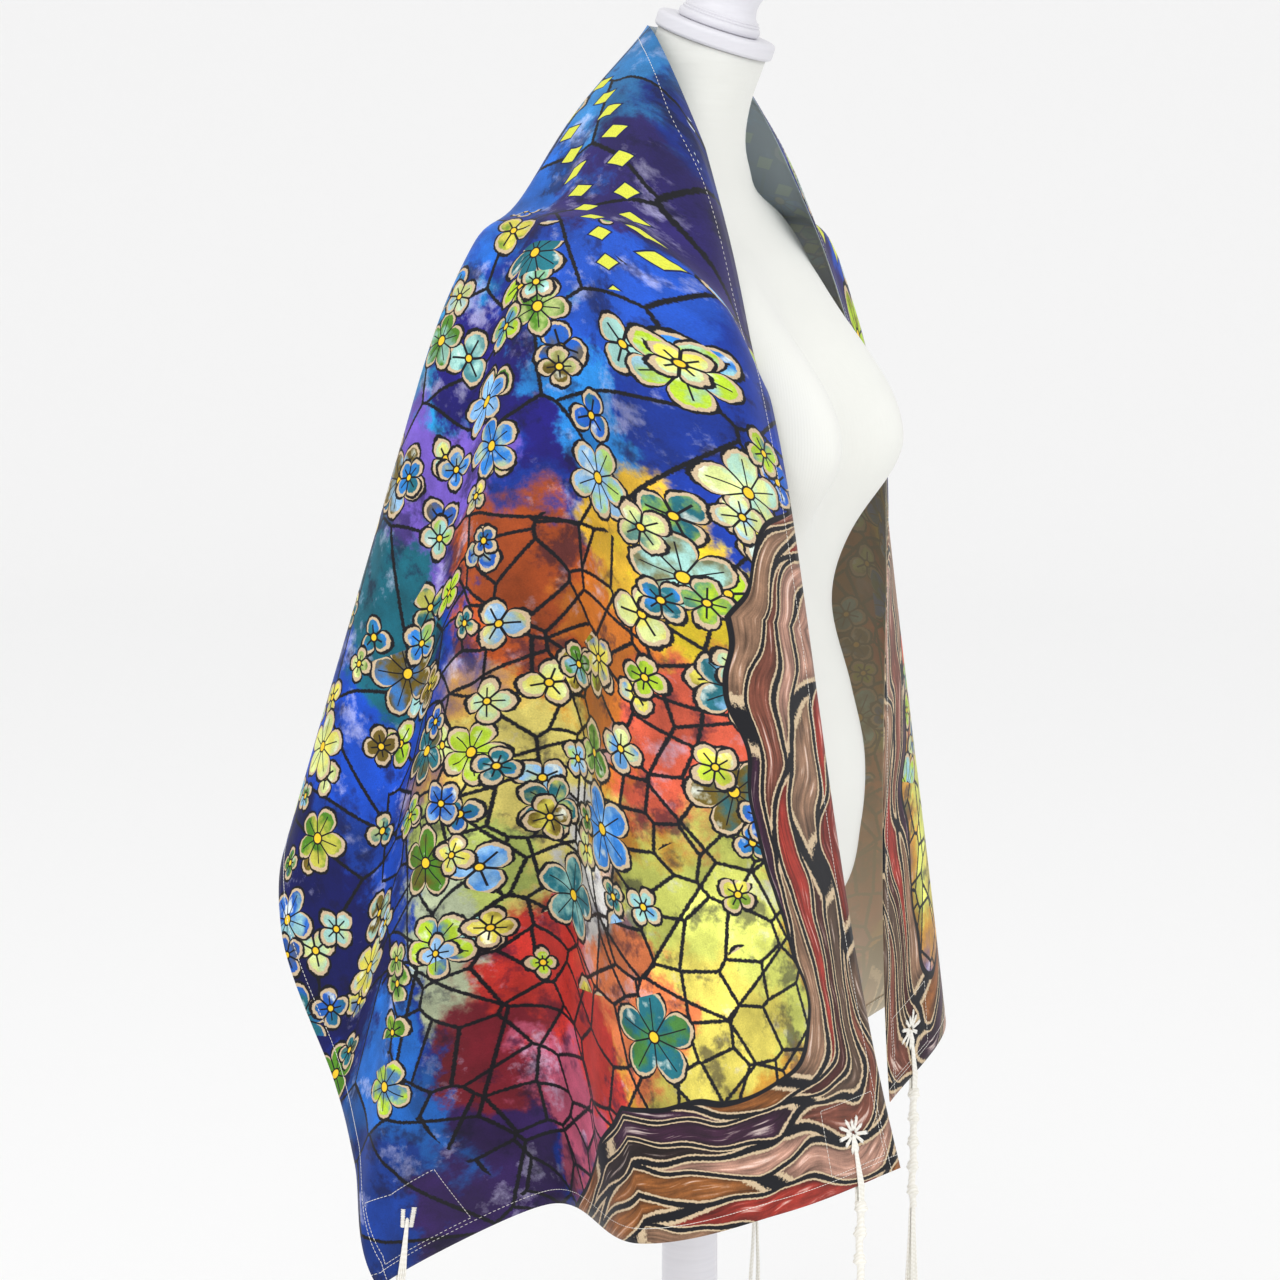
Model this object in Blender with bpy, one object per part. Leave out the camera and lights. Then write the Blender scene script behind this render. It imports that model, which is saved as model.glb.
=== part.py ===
"""A tallit worn as a shawl by a limbless dress form on a turned stand.

Metres, +Z up. The form faces -Y, its right shoulder is at -X, and the stand rests on z = 0.
The shawl is one rectangle of cloth: "along" runs from its centre back to the two short hems,
"across" from the neck edge to the outer edge. It hangs in fall lines, which are straight on the
flat cloth, run from the neck edge over a shoulder and end on the lower edge.
"""

import math
from typing import NamedTuple

import bmesh
import bpy
import numpy as np

# The cloth as it is cut and hemmed, and the lines of its grid: two close ones along every hem.
CLOTH_HALF = 1.03
CLOTH_WIDTH = 0.56
CLOTH_WALL = 0.0016
CELLS_ALONG = 72
CELLS_ACROSS = 16
HEM = 0.013
PATCH_ALONG = 0.056
PATCH_ACROSS = 0.068

# The neck edge stands up behind the neck and slopes down to the collar bones.
NECK_SHARE_LENGTH = 0.175
NECK_BACK_RADIUS = 0.042
NECK_FRONT_RADIUS = 0.088
NECK_WIDENING = 3.0
NECK_CENTRE_Y = -0.006
NECK_FRONT_ANGLE = math.radians(62.0)
NECK_BACK_HEIGHT = 1.467
NECK_FRONT_HEIGHT = 1.366
NECK_SLOPE_POWER = 4.6
SHOULDER_ROUND = 0.60
SADDLE_SAG = 0.020
BOW_PEAK = 27 / 4
HALVINGS = 44

# Corner patches, 0.3 mm inside the cloth, and the holes that the tassels hang from.
PATCH_WALL = 0.0010
SEAM_GAP = 0.0003

# The tassels: four threads doubled through the hole, tied in five double knots.
KNOTS = 5
KNOT_PITCH = 0.022
WINDING_RADIUS = 0.0036
KNOT_SHAPE = ((0.10, 0.0044), (0.30, 0.0052), (0.50, 0.0040))
STRAP_BELOW_HEM = 0.006
HEAD_DROP = 0.006
STRAND_RADIUS = 0.0011
STRAND_TRIM = 0.03
STRAND_LEVELS = 3
STRAP_HALF_WIDTH = 0.0032
STRAP_DEPTH = 0.0018
STRAP_CLEARANCE_OUT = 0.0007
STRAP_CLEARANCE_IN = 0.0023
STRAP_LEVELS = 4

# The dress form.
FORM_SIDES = 36
NECK_SEAT = 0.0005
SECTION_POWER = 2.25
BREAST_HEIGHT = 1.135
BREAST_SIDE = 0.075
BREAST_SWELL = 0.0690
BREAST_WIDE = 0.046
BREAST_ABOVE = 0.105
BREAST_BELOW = 0.072

# The neck cap, the knob on it, and the stand.
CAP_TILT = math.radians(20.0)
CAP_RADIUS = 0.0500
CAP_THICK = 0.0135
CAP_EDGE = 0.002
STAND_GAP = 0.0003
TURNED_SIDES = 28

WHITE_PAINT = ("white_paint", (0.86, 0.86, 0.88, 1.0), 0.45)
JERSEY = ("form_jersey", (0.88, 0.87, 0.83, 1.0), 0.85)
PRINTED_CLOTH = ("printed_cloth", (0.12, 0.25, 0.55, 1.0), 0.6)
PATCH_CLOTH = ("patch_cloth", (0.45, 0.45, 0.40, 1.0), 0.7)
THREAD = ("tassel_thread", (0.90, 0.88, 0.82, 1.0), 0.9)


class FallLine(NamedTuple):
    """One fold: where its line leaves the shoulder and where it ends, in metres.

    edge: distance along the cloth's lower edge from the centre back, plus on the form's right
    neck: share of the neck edge's upper stretch, 0 at the centre back and 1 at the collar bone
    slack: length that small creases take up
    bow: how far the hanging stretch bows out from the pole, or in where it is less than 0
    """

    name: str
    edge: float
    neck: float
    shoulder_x: float
    shoulder_y: float
    shoulder_z: float
    end_x: float
    end_y: float
    slack: float
    bow: float


FALL_LINES = (
    FallLine("left front corner", -1.590, -1.00, 0.118, -0.130, 1.165, 0.064, -0.160, 0.026, -0.006),
    FallLine("left front fold", -1.450, -0.93, 0.168, -0.086, 1.235, 0.174, -0.170, 0.044, 0.000),
    FallLine("left side fold", -1.310, -0.85, 0.203, -0.046, 1.297, 0.264, -0.102, 0.036, 0.006),
    FallLine("left hem hollow", -1.170, -0.76, 0.210, -0.008, 1.307, 0.190, -0.010, 0.020, 0.000),
    FallLine("left back corner", -1.030, -0.68, 0.212, 0.022, 1.308, 0.300, 0.075, 0.030, 0.004),
    FallLine("left corner fold", -0.920, -0.63, 0.211, 0.040, 1.307, 0.285, 0.125, 0.022, 0.003),
    FallLine("left edge hollow", -0.800, -0.57, 0.208, 0.056, 1.305, 0.232, 0.152, 0.000, 0.000),
    FallLine("left edge fold", -0.670, -0.51, 0.202, 0.078, 1.302, 0.252, 0.222, 0.000, 0.004),
    FallLine("left back flute", -0.560, -0.45, 0.190, 0.106, 1.292, 0.232, 0.252, 0.000, 0.006),
    FallLine("left back hollow", -0.430, -0.36, 0.158, 0.118, 1.274, 0.180, 0.158, 0.000, 0.000),
    FallLine("left blade fold", -0.300, -0.26, 0.116, 0.124, 1.252, 0.120, 0.234, 0.000, 0.006),
    FallLine("left spine hollow", -0.150, -0.13, 0.062, 0.121, 1.240, 0.060, 0.134, 0.000, 0.000),
    FallLine("centre back", 0.000, 0.00, 0.000, 0.121, 1.236, 0.004, 0.208, 0.000, 0.006),
    FallLine("right spine hollow", 0.150, 0.13, -0.062, 0.121, 1.240, -0.055, 0.133, 0.000, 0.000),
    FallLine("right blade fold", 0.295, 0.26, -0.116, 0.124, 1.252, -0.120, 0.230, 0.000, 0.006),
    FallLine("right back hollow", 0.420, 0.36, -0.160, 0.119, 1.276, -0.184, 0.164, 0.000, 0.000),
    FallLine("right back flute", 0.545, 0.45, -0.194, 0.111, 1.296, -0.243, 0.237, -0.006, 0.000),
    FallLine("right edge fold", 0.670, 0.51, -0.205, 0.082, 1.302, -0.278, 0.232, -0.012, 0.002),
    FallLine("right edge hollow", 0.800, 0.57, -0.208, 0.056, 1.305, -0.257, 0.198, -0.032, 0.000),
    FallLine("right corner fold", 0.920, 0.63, -0.211, 0.040, 1.307, -0.270, 0.172, 0.004, 0.003),
    FallLine("right back corner", 1.030, 0.68, -0.212, 0.022, 1.308, -0.285, 0.142, 0.003, 0.004),
    FallLine("right hem hollow", 1.160, 0.76, -0.210, -0.008, 1.307, -0.186, 0.042, 0.006, 0.000),
    FallLine("right side fold", 1.310, 0.85, -0.200, -0.045, 1.297, -0.285, -0.092, -0.018, 0.008),
    FallLine("right front fold", 1.450, 0.93, -0.165, -0.108, 1.238, -0.215, -0.178, -0.005, 0.000),
    FallLine("right front corner", 1.590, 1.00, -0.118, -0.127, 1.165, -0.085, -0.226, 0.020, -0.013),
)


class FormSection(NamedTuple):
    """One level of the dress form: its centre, half width, reach to front and back, and tilt."""

    height: float
    centre_y: float
    half_width: float
    front: float
    back: float
    tilt: float


FORM_SECTIONS = (
    FormSection(0.700, 0.000, 0.060, 0.045, 0.045, 0.0),
    FormSection(0.702, 0.000, 0.110, 0.078, 0.080, 0.0),
    FormSection(0.712, 0.000, 0.138, 0.096, 0.104, 0.0),
    FormSection(0.740, 0.000, 0.155, 0.120, 0.116, 0.0),
    FormSection(0.800, 0.000, 0.167, 0.136, 0.124, 0.0),
    FormSection(0.860, 0.000, 0.165, 0.139, 0.120, 0.0),
    FormSection(0.920, 0.000, 0.148, 0.128, 0.096, 0.0),
    FormSection(0.990, 0.000, 0.124, 0.112, 0.072, 0.0),
    FormSection(1.050, 0.000, 0.130, 0.112, 0.078, 0.0),
    FormSection(1.110, 0.000, 0.143, 0.108, 0.094, 0.0),
    FormSection(1.170, 0.000, 0.152, 0.100, 0.106, 0.0),
    FormSection(1.230, 0.000, 0.171, 0.082, 0.104, 0.0),
    FormSection(1.275, 0.004, 0.1927, 0.066, 0.0926, 0.0),
    FormSection(1.300, 0.012, 0.1927, 0.056, 0.0753, 0.0),
    FormSection(1.318, 0.016, 0.1707, 0.052, 0.0655, 2.0),
    FormSection(1.336, 0.014, 0.114, 0.047, 0.052, 5.0),
    FormSection(1.358, 0.010, 0.086, 0.044, 0.048, 8.0),
    FormSection(1.378, 0.004, 0.062, 0.041, 0.048, 11.0),
    FormSection(1.410, -0.004, 0.048, 0.040, 0.046, 15.0),
    FormSection(1.452, -0.018, 0.045, 0.041, 0.043, 20.0),
)

# Heights of the form's rings, closer where it turns.
FORM_LEVELS = np.concatenate([
    [0.700, 0.702, 0.712, 0.730], np.arange(0.760, 1.041, 0.040), np.arange(1.070, 1.235, 0.027),
    [1.255, 1.275, 1.292, 1.305, 1.316, 1.326, 1.338, 1.350, 1.364, 1.382, 1.410, 1.452],
])


class Corner(NamedTuple):
    """One corner of the shawl: its side, whether on the outer edge, and how its tassel hangs."""

    name: str
    side: float
    on_outer_edge: bool
    sway_x: float
    sway_y: float
    spread: float
    length: float


CORNERS = (
    Corner("right_front", 1.0, False, 0.006, -0.004, 0.013, 0.190),
    Corner("right_back", 1.0, True, -0.004, 0.006, 0.015, 0.175),
    Corner("left_front", -1.0, False, -0.005, -0.003, 0.014, 0.185),
    Corner("left_back", -1.0, True, 0.003, 0.005, 0.012, 0.195),
)

# Turned profiles, as (height, radius) from the bottom up.
KNOB_PROFILE = (
    (0.000, 0.0325), (0.004, 0.0345), (0.009, 0.0335), (0.012, 0.0290), (0.022, 0.0262),
    (0.032, 0.0285), (0.044, 0.0345), (0.056, 0.0355), (0.068, 0.0300), (0.075, 0.0200), (0.078, 0.0080),
)
POLE_PROFILE = (
    (0.0263, 0.0420), (0.0330, 0.0430), (0.0400, 0.0390), (0.0480, 0.0320), (0.0700, 0.0285),
    (0.2000, 0.0255), (0.4400, 0.0240), (0.6400, 0.0225), (0.6600, 0.0240), (0.6700, 0.0340),
    (0.6800, 0.0360), (0.6997, 0.0360),
)
BASE_PROFILE = (
    (0.000, 0.1860), (0.004, 0.1900), (0.014, 0.1900), (0.020, 0.1860), (0.024, 0.1760), (0.026, 0.1600),
)


def hermite(knots, values, at):
    """A smooth curve through the rows of values: cubic pieces with the slope of the neighbours."""
    knots = np.asarray(knots, float)
    values = np.asarray(values, float)
    slopes = np.gradient(values, knots, axis=0)
    piece = np.clip(np.searchsorted(knots, at, side="right") - 1, 0, len(knots) - 2)
    span = knots[piece + 1] - knots[piece]
    share = ((at - knots[piece]) / span)[..., None]
    span = span[..., None]
    start, end = values[piece], values[piece + 1]
    leave, arrive = slopes[piece] * span, slopes[piece + 1] * span
    square, cube = share**2, share**3
    return (
        start * (2 * cube - 3 * square + 1)
        + leave * (cube - 2 * square + share)
        + end * (3 * square - 2 * cube)
        + arrive * (cube - square)
    )


def neck_point(share):
    """The neck edge's upper stretch: a widening arc round the neck that drops to the front."""
    part = np.abs(share)
    angle = math.pi + (NECK_FRONT_ANGLE - math.pi) * part
    radius = NECK_BACK_RADIUS + (NECK_FRONT_RADIUS - NECK_BACK_RADIUS) * part**NECK_WIDENING
    height = NECK_BACK_HEIGHT + (NECK_FRONT_HEIGHT - NECK_BACK_HEIGHT) * part**NECK_SLOPE_POWER
    across = -np.sign(share) * radius * np.sin(angle)
    return np.stack([across, NECK_CENTRE_Y - radius * np.cos(angle), height], -1)


def lower_edge(edge):
    """The flat cloth's point (along, across) at a distance along the lower edge."""
    part = np.abs(edge)
    along = np.sign(edge) * np.minimum(part, CLOTH_HALF)
    across = np.where(part > CLOTH_HALF, CLOTH_WIDTH - (part - CLOTH_HALF), CLOTH_WIDTH)
    return np.stack([along, across], -1)


EDGES = np.array([line.edge for line in FALL_LINES])
LINE_VALUES = np.array([line[2:] for line in FALL_LINES])


def neck_along(edge):
    """Where the fall line that ends at this edge distance starts on the flat neck edge."""
    return hermite(EDGES, LINE_VALUES[:, :1], edge)[..., 0] * NECK_SHARE_LENGTH


def fall_line_through(along, across):
    """(edge, share of the line's length) of the fall line through a point of the flat cloth.

    The side of the line on which the point lies changes sign once, so it is found by halving.
    """
    low = np.full(np.shape(along), EDGES[0])
    high = np.full(np.shape(along), EDGES[-1])
    for _ in range(HALVINGS):
        middle = (low + high) / 2
        end = lower_edge(middle)
        start = neck_along(middle)
        side = (end[..., 0] - start) * across - end[..., 1] * (along - start)
        low, high = np.where(side > 0, low, middle), np.where(side > 0, middle, high)
    end = lower_edge(low)
    start = neck_along(low)
    length = np.hypot(end[..., 0] - start, end[..., 1])
    return low, np.clip(np.hypot(along - start, across) / length, 0.0, 1.0)


def fall_line_point(edge, share):
    """A point on a worn fall line: sagging from neck to shoulder, rounded there, then hanging.

    The line keeps its flat length less the slack, which sets how low it ends.
    """
    values = hermite(EDGES, LINE_VALUES, edge)
    neck = neck_point(values[..., 0])
    shoulder = values[..., 1:4]
    flat_end = lower_edge(edge)
    flat = np.hypot(flat_end[..., 0] - neck_along(edge), flat_end[..., 1]) - values[..., 6]
    first = np.linalg.norm(shoulder - neck, axis=-1)
    aside = values[..., 4:6] - shoulder[..., :2]
    drop = np.sqrt((flat - first) ** 2 - (aside**2).sum(-1))
    end = np.concatenate([values[..., 4:6], (shoulder[..., 2] - drop)[..., None]], -1)
    path, fallen = rounded_corner(neck, shoulder, end, share)
    outward = (end + shoulder)[..., :2]
    outward = outward / np.linalg.norm(outward, axis=-1, keepdims=True)
    bulge = values[..., 7:8] * BOW_PEAK * fallen**2 * (1 - fallen)
    return path + np.concatenate([outward * bulge, 0 * bulge], -1)


def rounded_corner(start, corner, end, share):
    """The path start-corner-end at a share of its length, turning evenly in and out of its corner.

    The first stretch sags by a bump that is level at both ends and deepest near the corner.
    Also returned is the share of the second stretch that lies above the point.
    """
    before, after = corner - start, end - corner
    first = np.linalg.norm(before, axis=-1, keepdims=True)
    second = np.linalg.norm(after, axis=-1, keepdims=True)
    before, after = before / first, after / second
    reach = SHOULDER_ROUND * first
    distance = share[..., None] * (first + second)
    turn = np.clip((distance - (first - reach)) / (2 * reach), 0.0, 1.0)
    turned = turn**3 - turn**4 / 2
    arc = corner + reach * (before * (2 * turn - 2 * turned - 1) + after * 2 * turned)
    on_first = start + before * distance
    on_second = corner + after * (distance - first)
    path = np.where(distance < first - reach, on_first, np.where(distance > first + reach, on_second, arc))
    rise = np.clip(distance / first, 0.0, 1.0) ** 2
    sag = SADDLE_SAG * 64 * (rise * (1 - rise)) ** 3
    return path - sag * np.array([0.0, 0.0, 1.0]), np.clip((distance - first) / second, 0.0, 1.0)


def cloth_point(along, across):
    """Where a point of the flat cloth lies on the worn shawl's outer face."""
    return fall_line_point(*fall_line_through(along, across))


def grid_lines(length, cells, patch):
    """Even grid lines on a width of cloth, with the hem's and the patch's lines at both ends."""
    near_edge = np.array([0.0, HEM, HEM + patch / 2, HEM + patch])
    middle = np.linspace(near_edge[-1], length - near_edge[-1], cells + 1)[1:-1]
    return np.concatenate([near_edge, middle, length - near_edge[::-1]])


def cloth_grid():
    """The cloth's grid lines along and across, its outer face's points and their normals."""
    along = grid_lines(2 * CLOTH_HALF, CELLS_ALONG, PATCH_ALONG) - CLOTH_HALF
    across = grid_lines(CLOTH_WIDTH, CELLS_ACROSS, PATCH_ACROSS)
    outer = cloth_point(*np.meshgrid(along, across, indexing="ij"))
    normal = np.cross(np.gradient(outer, across, axis=1), np.gradient(outer, along, axis=0))
    return along, across, outer, normal / np.linalg.norm(normal, axis=-1, keepdims=True)


def on_grid(lines_along, lines_across, grid, along, across):
    """Values between a grid's lines, level with the triangles that walled_grid splits its cells into."""
    row = np.clip(np.searchsorted(lines_along, along) - 1, 0, len(lines_along) - 2)
    column = np.clip(np.searchsorted(lines_across, across) - 1, 0, len(lines_across) - 2)
    a = ((along - lines_along[row]) / (lines_along[row + 1] - lines_along[row]))[..., None]
    b = ((across - lines_across[column]) / (lines_across[column + 1] - lines_across[column]))[..., None]
    start, end = grid[row, column], grid[row + 1, column + 1]
    before, after = grid[row + 1, column], grid[row, column + 1]
    rising = np.where(a > b, before * (a - b) + end * b, after * (b - a) + end * a)
    rising = rising + start * (1 - np.maximum(a, b))
    falling = np.where(a + b < 1, start * (1 - a - b), end * (a + b - 1))
    falling = falling + before * np.where(a + b < 1, a, 1 - b) + after * np.where(a + b < 1, b, 1 - a)
    return np.where((lines_along[row + 1] > 0)[..., None], rising, falling)


def walled_grid(outer, inner, rising):
    """Vertices and triangles of a closed wall between two grids of the same shape.

    rising says for each row of cells which diagonal splits them, so that it runs with the folds.
    """
    rows, columns = outer.shape[:2]
    index = np.arange(rows * columns).reshape(rows, columns)
    cells = np.stack([index[:-1, :-1], index[1:, :-1], index[1:, 1:], index[:-1, 1:]], -1)
    front = np.concatenate([
        cells[rising][..., triangle].reshape(-1, 3) for triangle in ([0, 1, 2], [0, 2, 3])
    ] + [
        cells[~rising][..., triangle].reshape(-1, 3) for triangle in ([0, 1, 3], [1, 2, 3])
    ])
    back = front[:, ::-1] + rows * columns
    rim = np.concatenate([index[:-1, 0], index[-1, :-1], index[:0:-1, -1], index[0, :0:-1]])
    after = np.roll(rim, -1)
    below, after_below = rim + rows * columns, after + rows * columns
    sides = np.concatenate([np.stack([rim, below, after_below], -1), np.stack([rim, after_below, after], -1)])
    points = np.concatenate([outer.reshape(-1, 3), inner.reshape(-1, 3)])
    return points, np.concatenate([front, back, sides])


def material(name, colour, roughness):
    """A plain Principled material, made once for each finish."""
    found = bpy.data.materials.get(name)
    if found:
        return found
    made = bpy.data.materials.new(name)
    made.use_nodes = True
    shader = made.node_tree.nodes["Principled BSDF"]
    shader.inputs["Base Color"].default_value = colour
    shader.inputs["Roughness"].default_value = roughness
    return made


def add_object(name, points, faces, finish, smooth_angle=50.0):
    """An object from vertices and faces, with its normals pointing out."""
    mesh = bpy.data.meshes.new(name)
    mesh.from_pydata(np.asarray(points).tolist(), [], [list(map(int, face)) for face in faces])
    shape = bmesh.new()
    shape.from_mesh(mesh)
    bmesh.ops.recalc_face_normals(shape, faces=shape.faces)
    shape.to_mesh(mesh)
    shape.free()
    mesh.shade_smooth()
    mesh.set_sharp_from_angle(angle=math.radians(smooth_angle))
    mesh.materials.append(material(*finish))
    obj = bpy.data.objects.new(name, mesh)
    bpy.context.scene.collection.objects.link(obj)
    return obj


def lathe(profile, sides):
    """Vertices and faces of a solid turned about Z, closed by a flat disc at each end."""
    angles = np.arange(sides) * 2 * math.pi / sides
    rings = [[(r * math.cos(a), r * math.sin(a), z) for a in angles] for z, r in profile]
    return closed_rings(np.array(rings))


def closed_rings(rings):
    """Vertices and faces of a body with these rings, capped with one polygon at each end."""
    levels, sides = rings.shape[:2]
    faces = [list(range(sides))[::-1], [(levels - 1) * sides + k for k in range(sides)]]
    for level in range(levels - 1):
        for k in range(sides):
            after = (k + 1) % sides
            low, high = level * sides, (level + 1) * sides
            faces.append([low + k, low + after, high + after, high + k])
    return rings.reshape(-1, 3), faces


def tilted(points, pivot):
    """Points turned forward about the X direction by the cap's tilt, then moved to the pivot."""
    cosine, sine = math.cos(CAP_TILT), math.sin(CAP_TILT)
    turned = points @ np.array([[1, 0, 0], [0, cosine, sine], [0, -sine, cosine]])
    return turned + pivot


def form_rings():
    """Rings of the dress form: superellipses of the table's sections, with two breasts raised."""
    heights = [section.height for section in FORM_SECTIONS]
    rows = hermite(heights, np.array([section[1:] for section in FORM_SECTIONS]), FORM_LEVELS)
    angles = np.arange(FORM_SIDES) * 2 * math.pi / FORM_SIDES
    cosine, sine = np.cos(angles), np.sin(angles)
    rings = []
    for height, (centre, half_width, front, back, tilt) in zip(FORM_LEVELS, rows):
        x = half_width * np.sign(cosine) * np.abs(cosine) ** (2 / SECTION_POWER)
        depth = np.where(sine < 0, front, back)
        y = depth * np.sign(sine) * np.abs(sine) ** (2 / SECTION_POWER)
        aside = (np.abs(x) - BREAST_SIDE) / BREAST_WIDE
        above = (height - BREAST_HEIGHT) / (BREAST_ABOVE if height > BREAST_HEIGHT else BREAST_BELOW)
        swell = BREAST_SWELL * np.exp(-(aside**2) - above**2) * np.sqrt(np.clip(-sine, 0, 1))
        rings.append(np.stack([x, y - swell + centre, height + y * math.tan(math.radians(tilt))], -1))
    return np.array(rings)


def make_form():
    """The jersey-covered body, one smooth closed solid from hip to neck."""
    points, faces = closed_rings(form_rings())
    add_object("form_body", points, faces, JERSEY)


def make_cap_and_knob():
    """The neck cap, a thick tilted disc on the neck, and the turned knob that stands on it."""
    up = np.array([0.0, -math.sin(CAP_TILT), math.cos(CAP_TILT)])
    seat = form_rings()[-1].mean(axis=0) + up * NECK_SEAT
    profile = (
        (0.0, CAP_RADIUS - CAP_EDGE), (CAP_EDGE, CAP_RADIUS), (CAP_THICK - CAP_EDGE, CAP_RADIUS),
        (CAP_THICK, CAP_RADIUS - CAP_EDGE),
    )
    points, faces = lathe(profile, TURNED_SIDES)
    add_object("neck_cap", tilted(points, seat), faces, WHITE_PAINT)
    points, faces = lathe(KNOB_PROFILE, TURNED_SIDES)
    add_object("cap_knob", tilted(points, seat + up * (CAP_THICK + STAND_GAP)), faces, WHITE_PAINT)


def make_stand():
    """The turned pole under the form and the round base that it stands on."""
    for name, profile in (("stand_pole", POLE_PROFILE), ("stand_base", BASE_PROFILE)):
        points, faces = lathe(profile, TURNED_SIDES)
        add_object(name, points, faces, WHITE_PAINT)


def make_shawl(grid):
    """The cloth: its grid on the flat rectangle, laid on the fall lines and given its wall."""
    along, _, outer, normal = grid
    points, faces = walled_grid(outer, outer - normal * CLOTH_WALL, along[1:] > 0)
    add_object("shawl_cloth", points, faces, PRINTED_CLOTH)


def make_patch(corner, grid):
    """A square patch inside a corner: the cloth's own points there, moved in past its wall."""
    along, _, outer, normal = grid
    rows = slice(-4, -1) if corner.side > 0 else slice(1, 4)
    columns = slice(-4, -1) if corner.on_outer_edge else slice(1, 4)
    points, faces = walled_grid(
        outer[rows, columns] - normal[rows, columns] * (CLOTH_WALL + SEAM_GAP),
        outer[rows, columns] - normal[rows, columns] * (CLOTH_WALL + SEAM_GAP + PATCH_WALL),
        along[rows][1:] > 0,
    )
    add_object("patch_" + corner.name, points, faces, PATCH_CLOTH)


def downward(grid, along, across):
    """The direction on the flat cloth that hangs straight down there, of length 1 when worn."""
    lines_along, lines_across, outer, _ = grid
    step = PATCH_ALONG / 4
    here = on_grid(lines_along, lines_across, outer, along, across)
    ahead = (on_grid(lines_along, lines_across, outer, along + step, across) - here) / step
    aside = (on_grid(lines_along, lines_across, outer, along, across + step) - here) / step
    measure = np.array([[ahead @ ahead, ahead @ aside], [ahead @ aside, aside @ aside]])
    direction = np.linalg.solve(measure, -np.array([ahead[2], aside[2]]))
    return direction / np.linalg.norm(direction[0] * ahead + direction[1] * aside)


def strap_course(corner, grid):
    """Where the threads run, from just below the hem up to the hole: points and normals."""
    lines_along, lines_across, outer, normal = grid
    from_hem, from_edge = HEM + PATCH_ALONG / 2, HEM + PATCH_ACROSS / 2
    hole_across = CLOTH_WIDTH - from_edge if corner.on_outer_edge else from_edge
    hole = np.array([corner.side * (CLOTH_HALF - from_hem), hole_across])
    down = downward(grid, *hole)
    flat = hole + np.linspace(1.0, 0.0, STRAP_LEVELS)[:, None] * down * from_hem / abs(down[0])
    points = on_grid(lines_along, lines_across, outer, flat[:, 0], flat[:, 1])
    normals = on_grid(lines_along, lines_across, normal, flat[:, 0], flat[:, 1])
    normals = normals / np.linalg.norm(normals, axis=-1, keepdims=True)
    beyond = points[0] - points[1]
    below_hem = points[0] + beyond / np.linalg.norm(beyond) * STRAP_BELOW_HEM
    return np.vstack([below_hem, points]), np.vstack([normals[:1], normals])


def strap_rings(points, normals, low, high):
    """Six-point rings of a flat strap between two heights off the cloth's outer face."""
    rings = []
    for point, normal, upward in zip(points, normals, np.gradient(points, axis=0)):
        sideways = np.cross(normal, upward)
        sideways = sideways / np.linalg.norm(sideways)
        edge = [point + sideways * STRAP_HALF_WIDTH * k for k in (-1, 0, 1)]
        rings.append([e + normal * low for e in edge] + [e + normal * high for e in edge[::-1]])
    return rings


def disc_grid(radius):
    """A grid of 5 by 3 points on a disc, from a square grid by the square-to-disc rule."""
    a, b = np.meshgrid(np.linspace(-1, 1, 5), np.linspace(-1, 1, 3), indexing="ij")
    return np.stack([a * np.sqrt(1 - b**2 / 2), b * np.sqrt(1 - a**2 / 2)], -1) * radius


class Sprouting:
    """A mesh under construction: rings of points, joined by bands of faces."""

    def __init__(self):
        self.points, self.faces = [], []

    def ring(self, points):
        """Adds points and returns their numbers."""
        first = len(self.points)
        self.points.extend(points)
        return list(range(first, len(self.points)))

    def band(self, low, high):
        """Joins two rings of as many points."""
        for k in range(len(low)):
            after = (k + 1) % len(low)
            self.faces.append([low[k], low[after], high[after], high[k]])

    def grow(self, outline, rings):
        """Grows a limb from a ring of points through further rings, closed at its tip."""
        for points in rings:
            numbers = self.ring(points)
            self.band(outline, numbers)
            outline = numbers
        self.faces.append(outline)


OUTLINE_12 = ((0, 0), (1, 0), (2, 0), (3, 0), (4, 0), (4, 1), (4, 2), (3, 2), (2, 2), (1, 2), (0, 2), (0, 1))
OUTER_STRAP = ((1, 1), (2, 1), (3, 1), (3, 2), (2, 2), (1, 2))
INNER_STRAP = ((1, 1), (2, 1), (3, 1), (3, 0), (2, 0), (1, 0))


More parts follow.
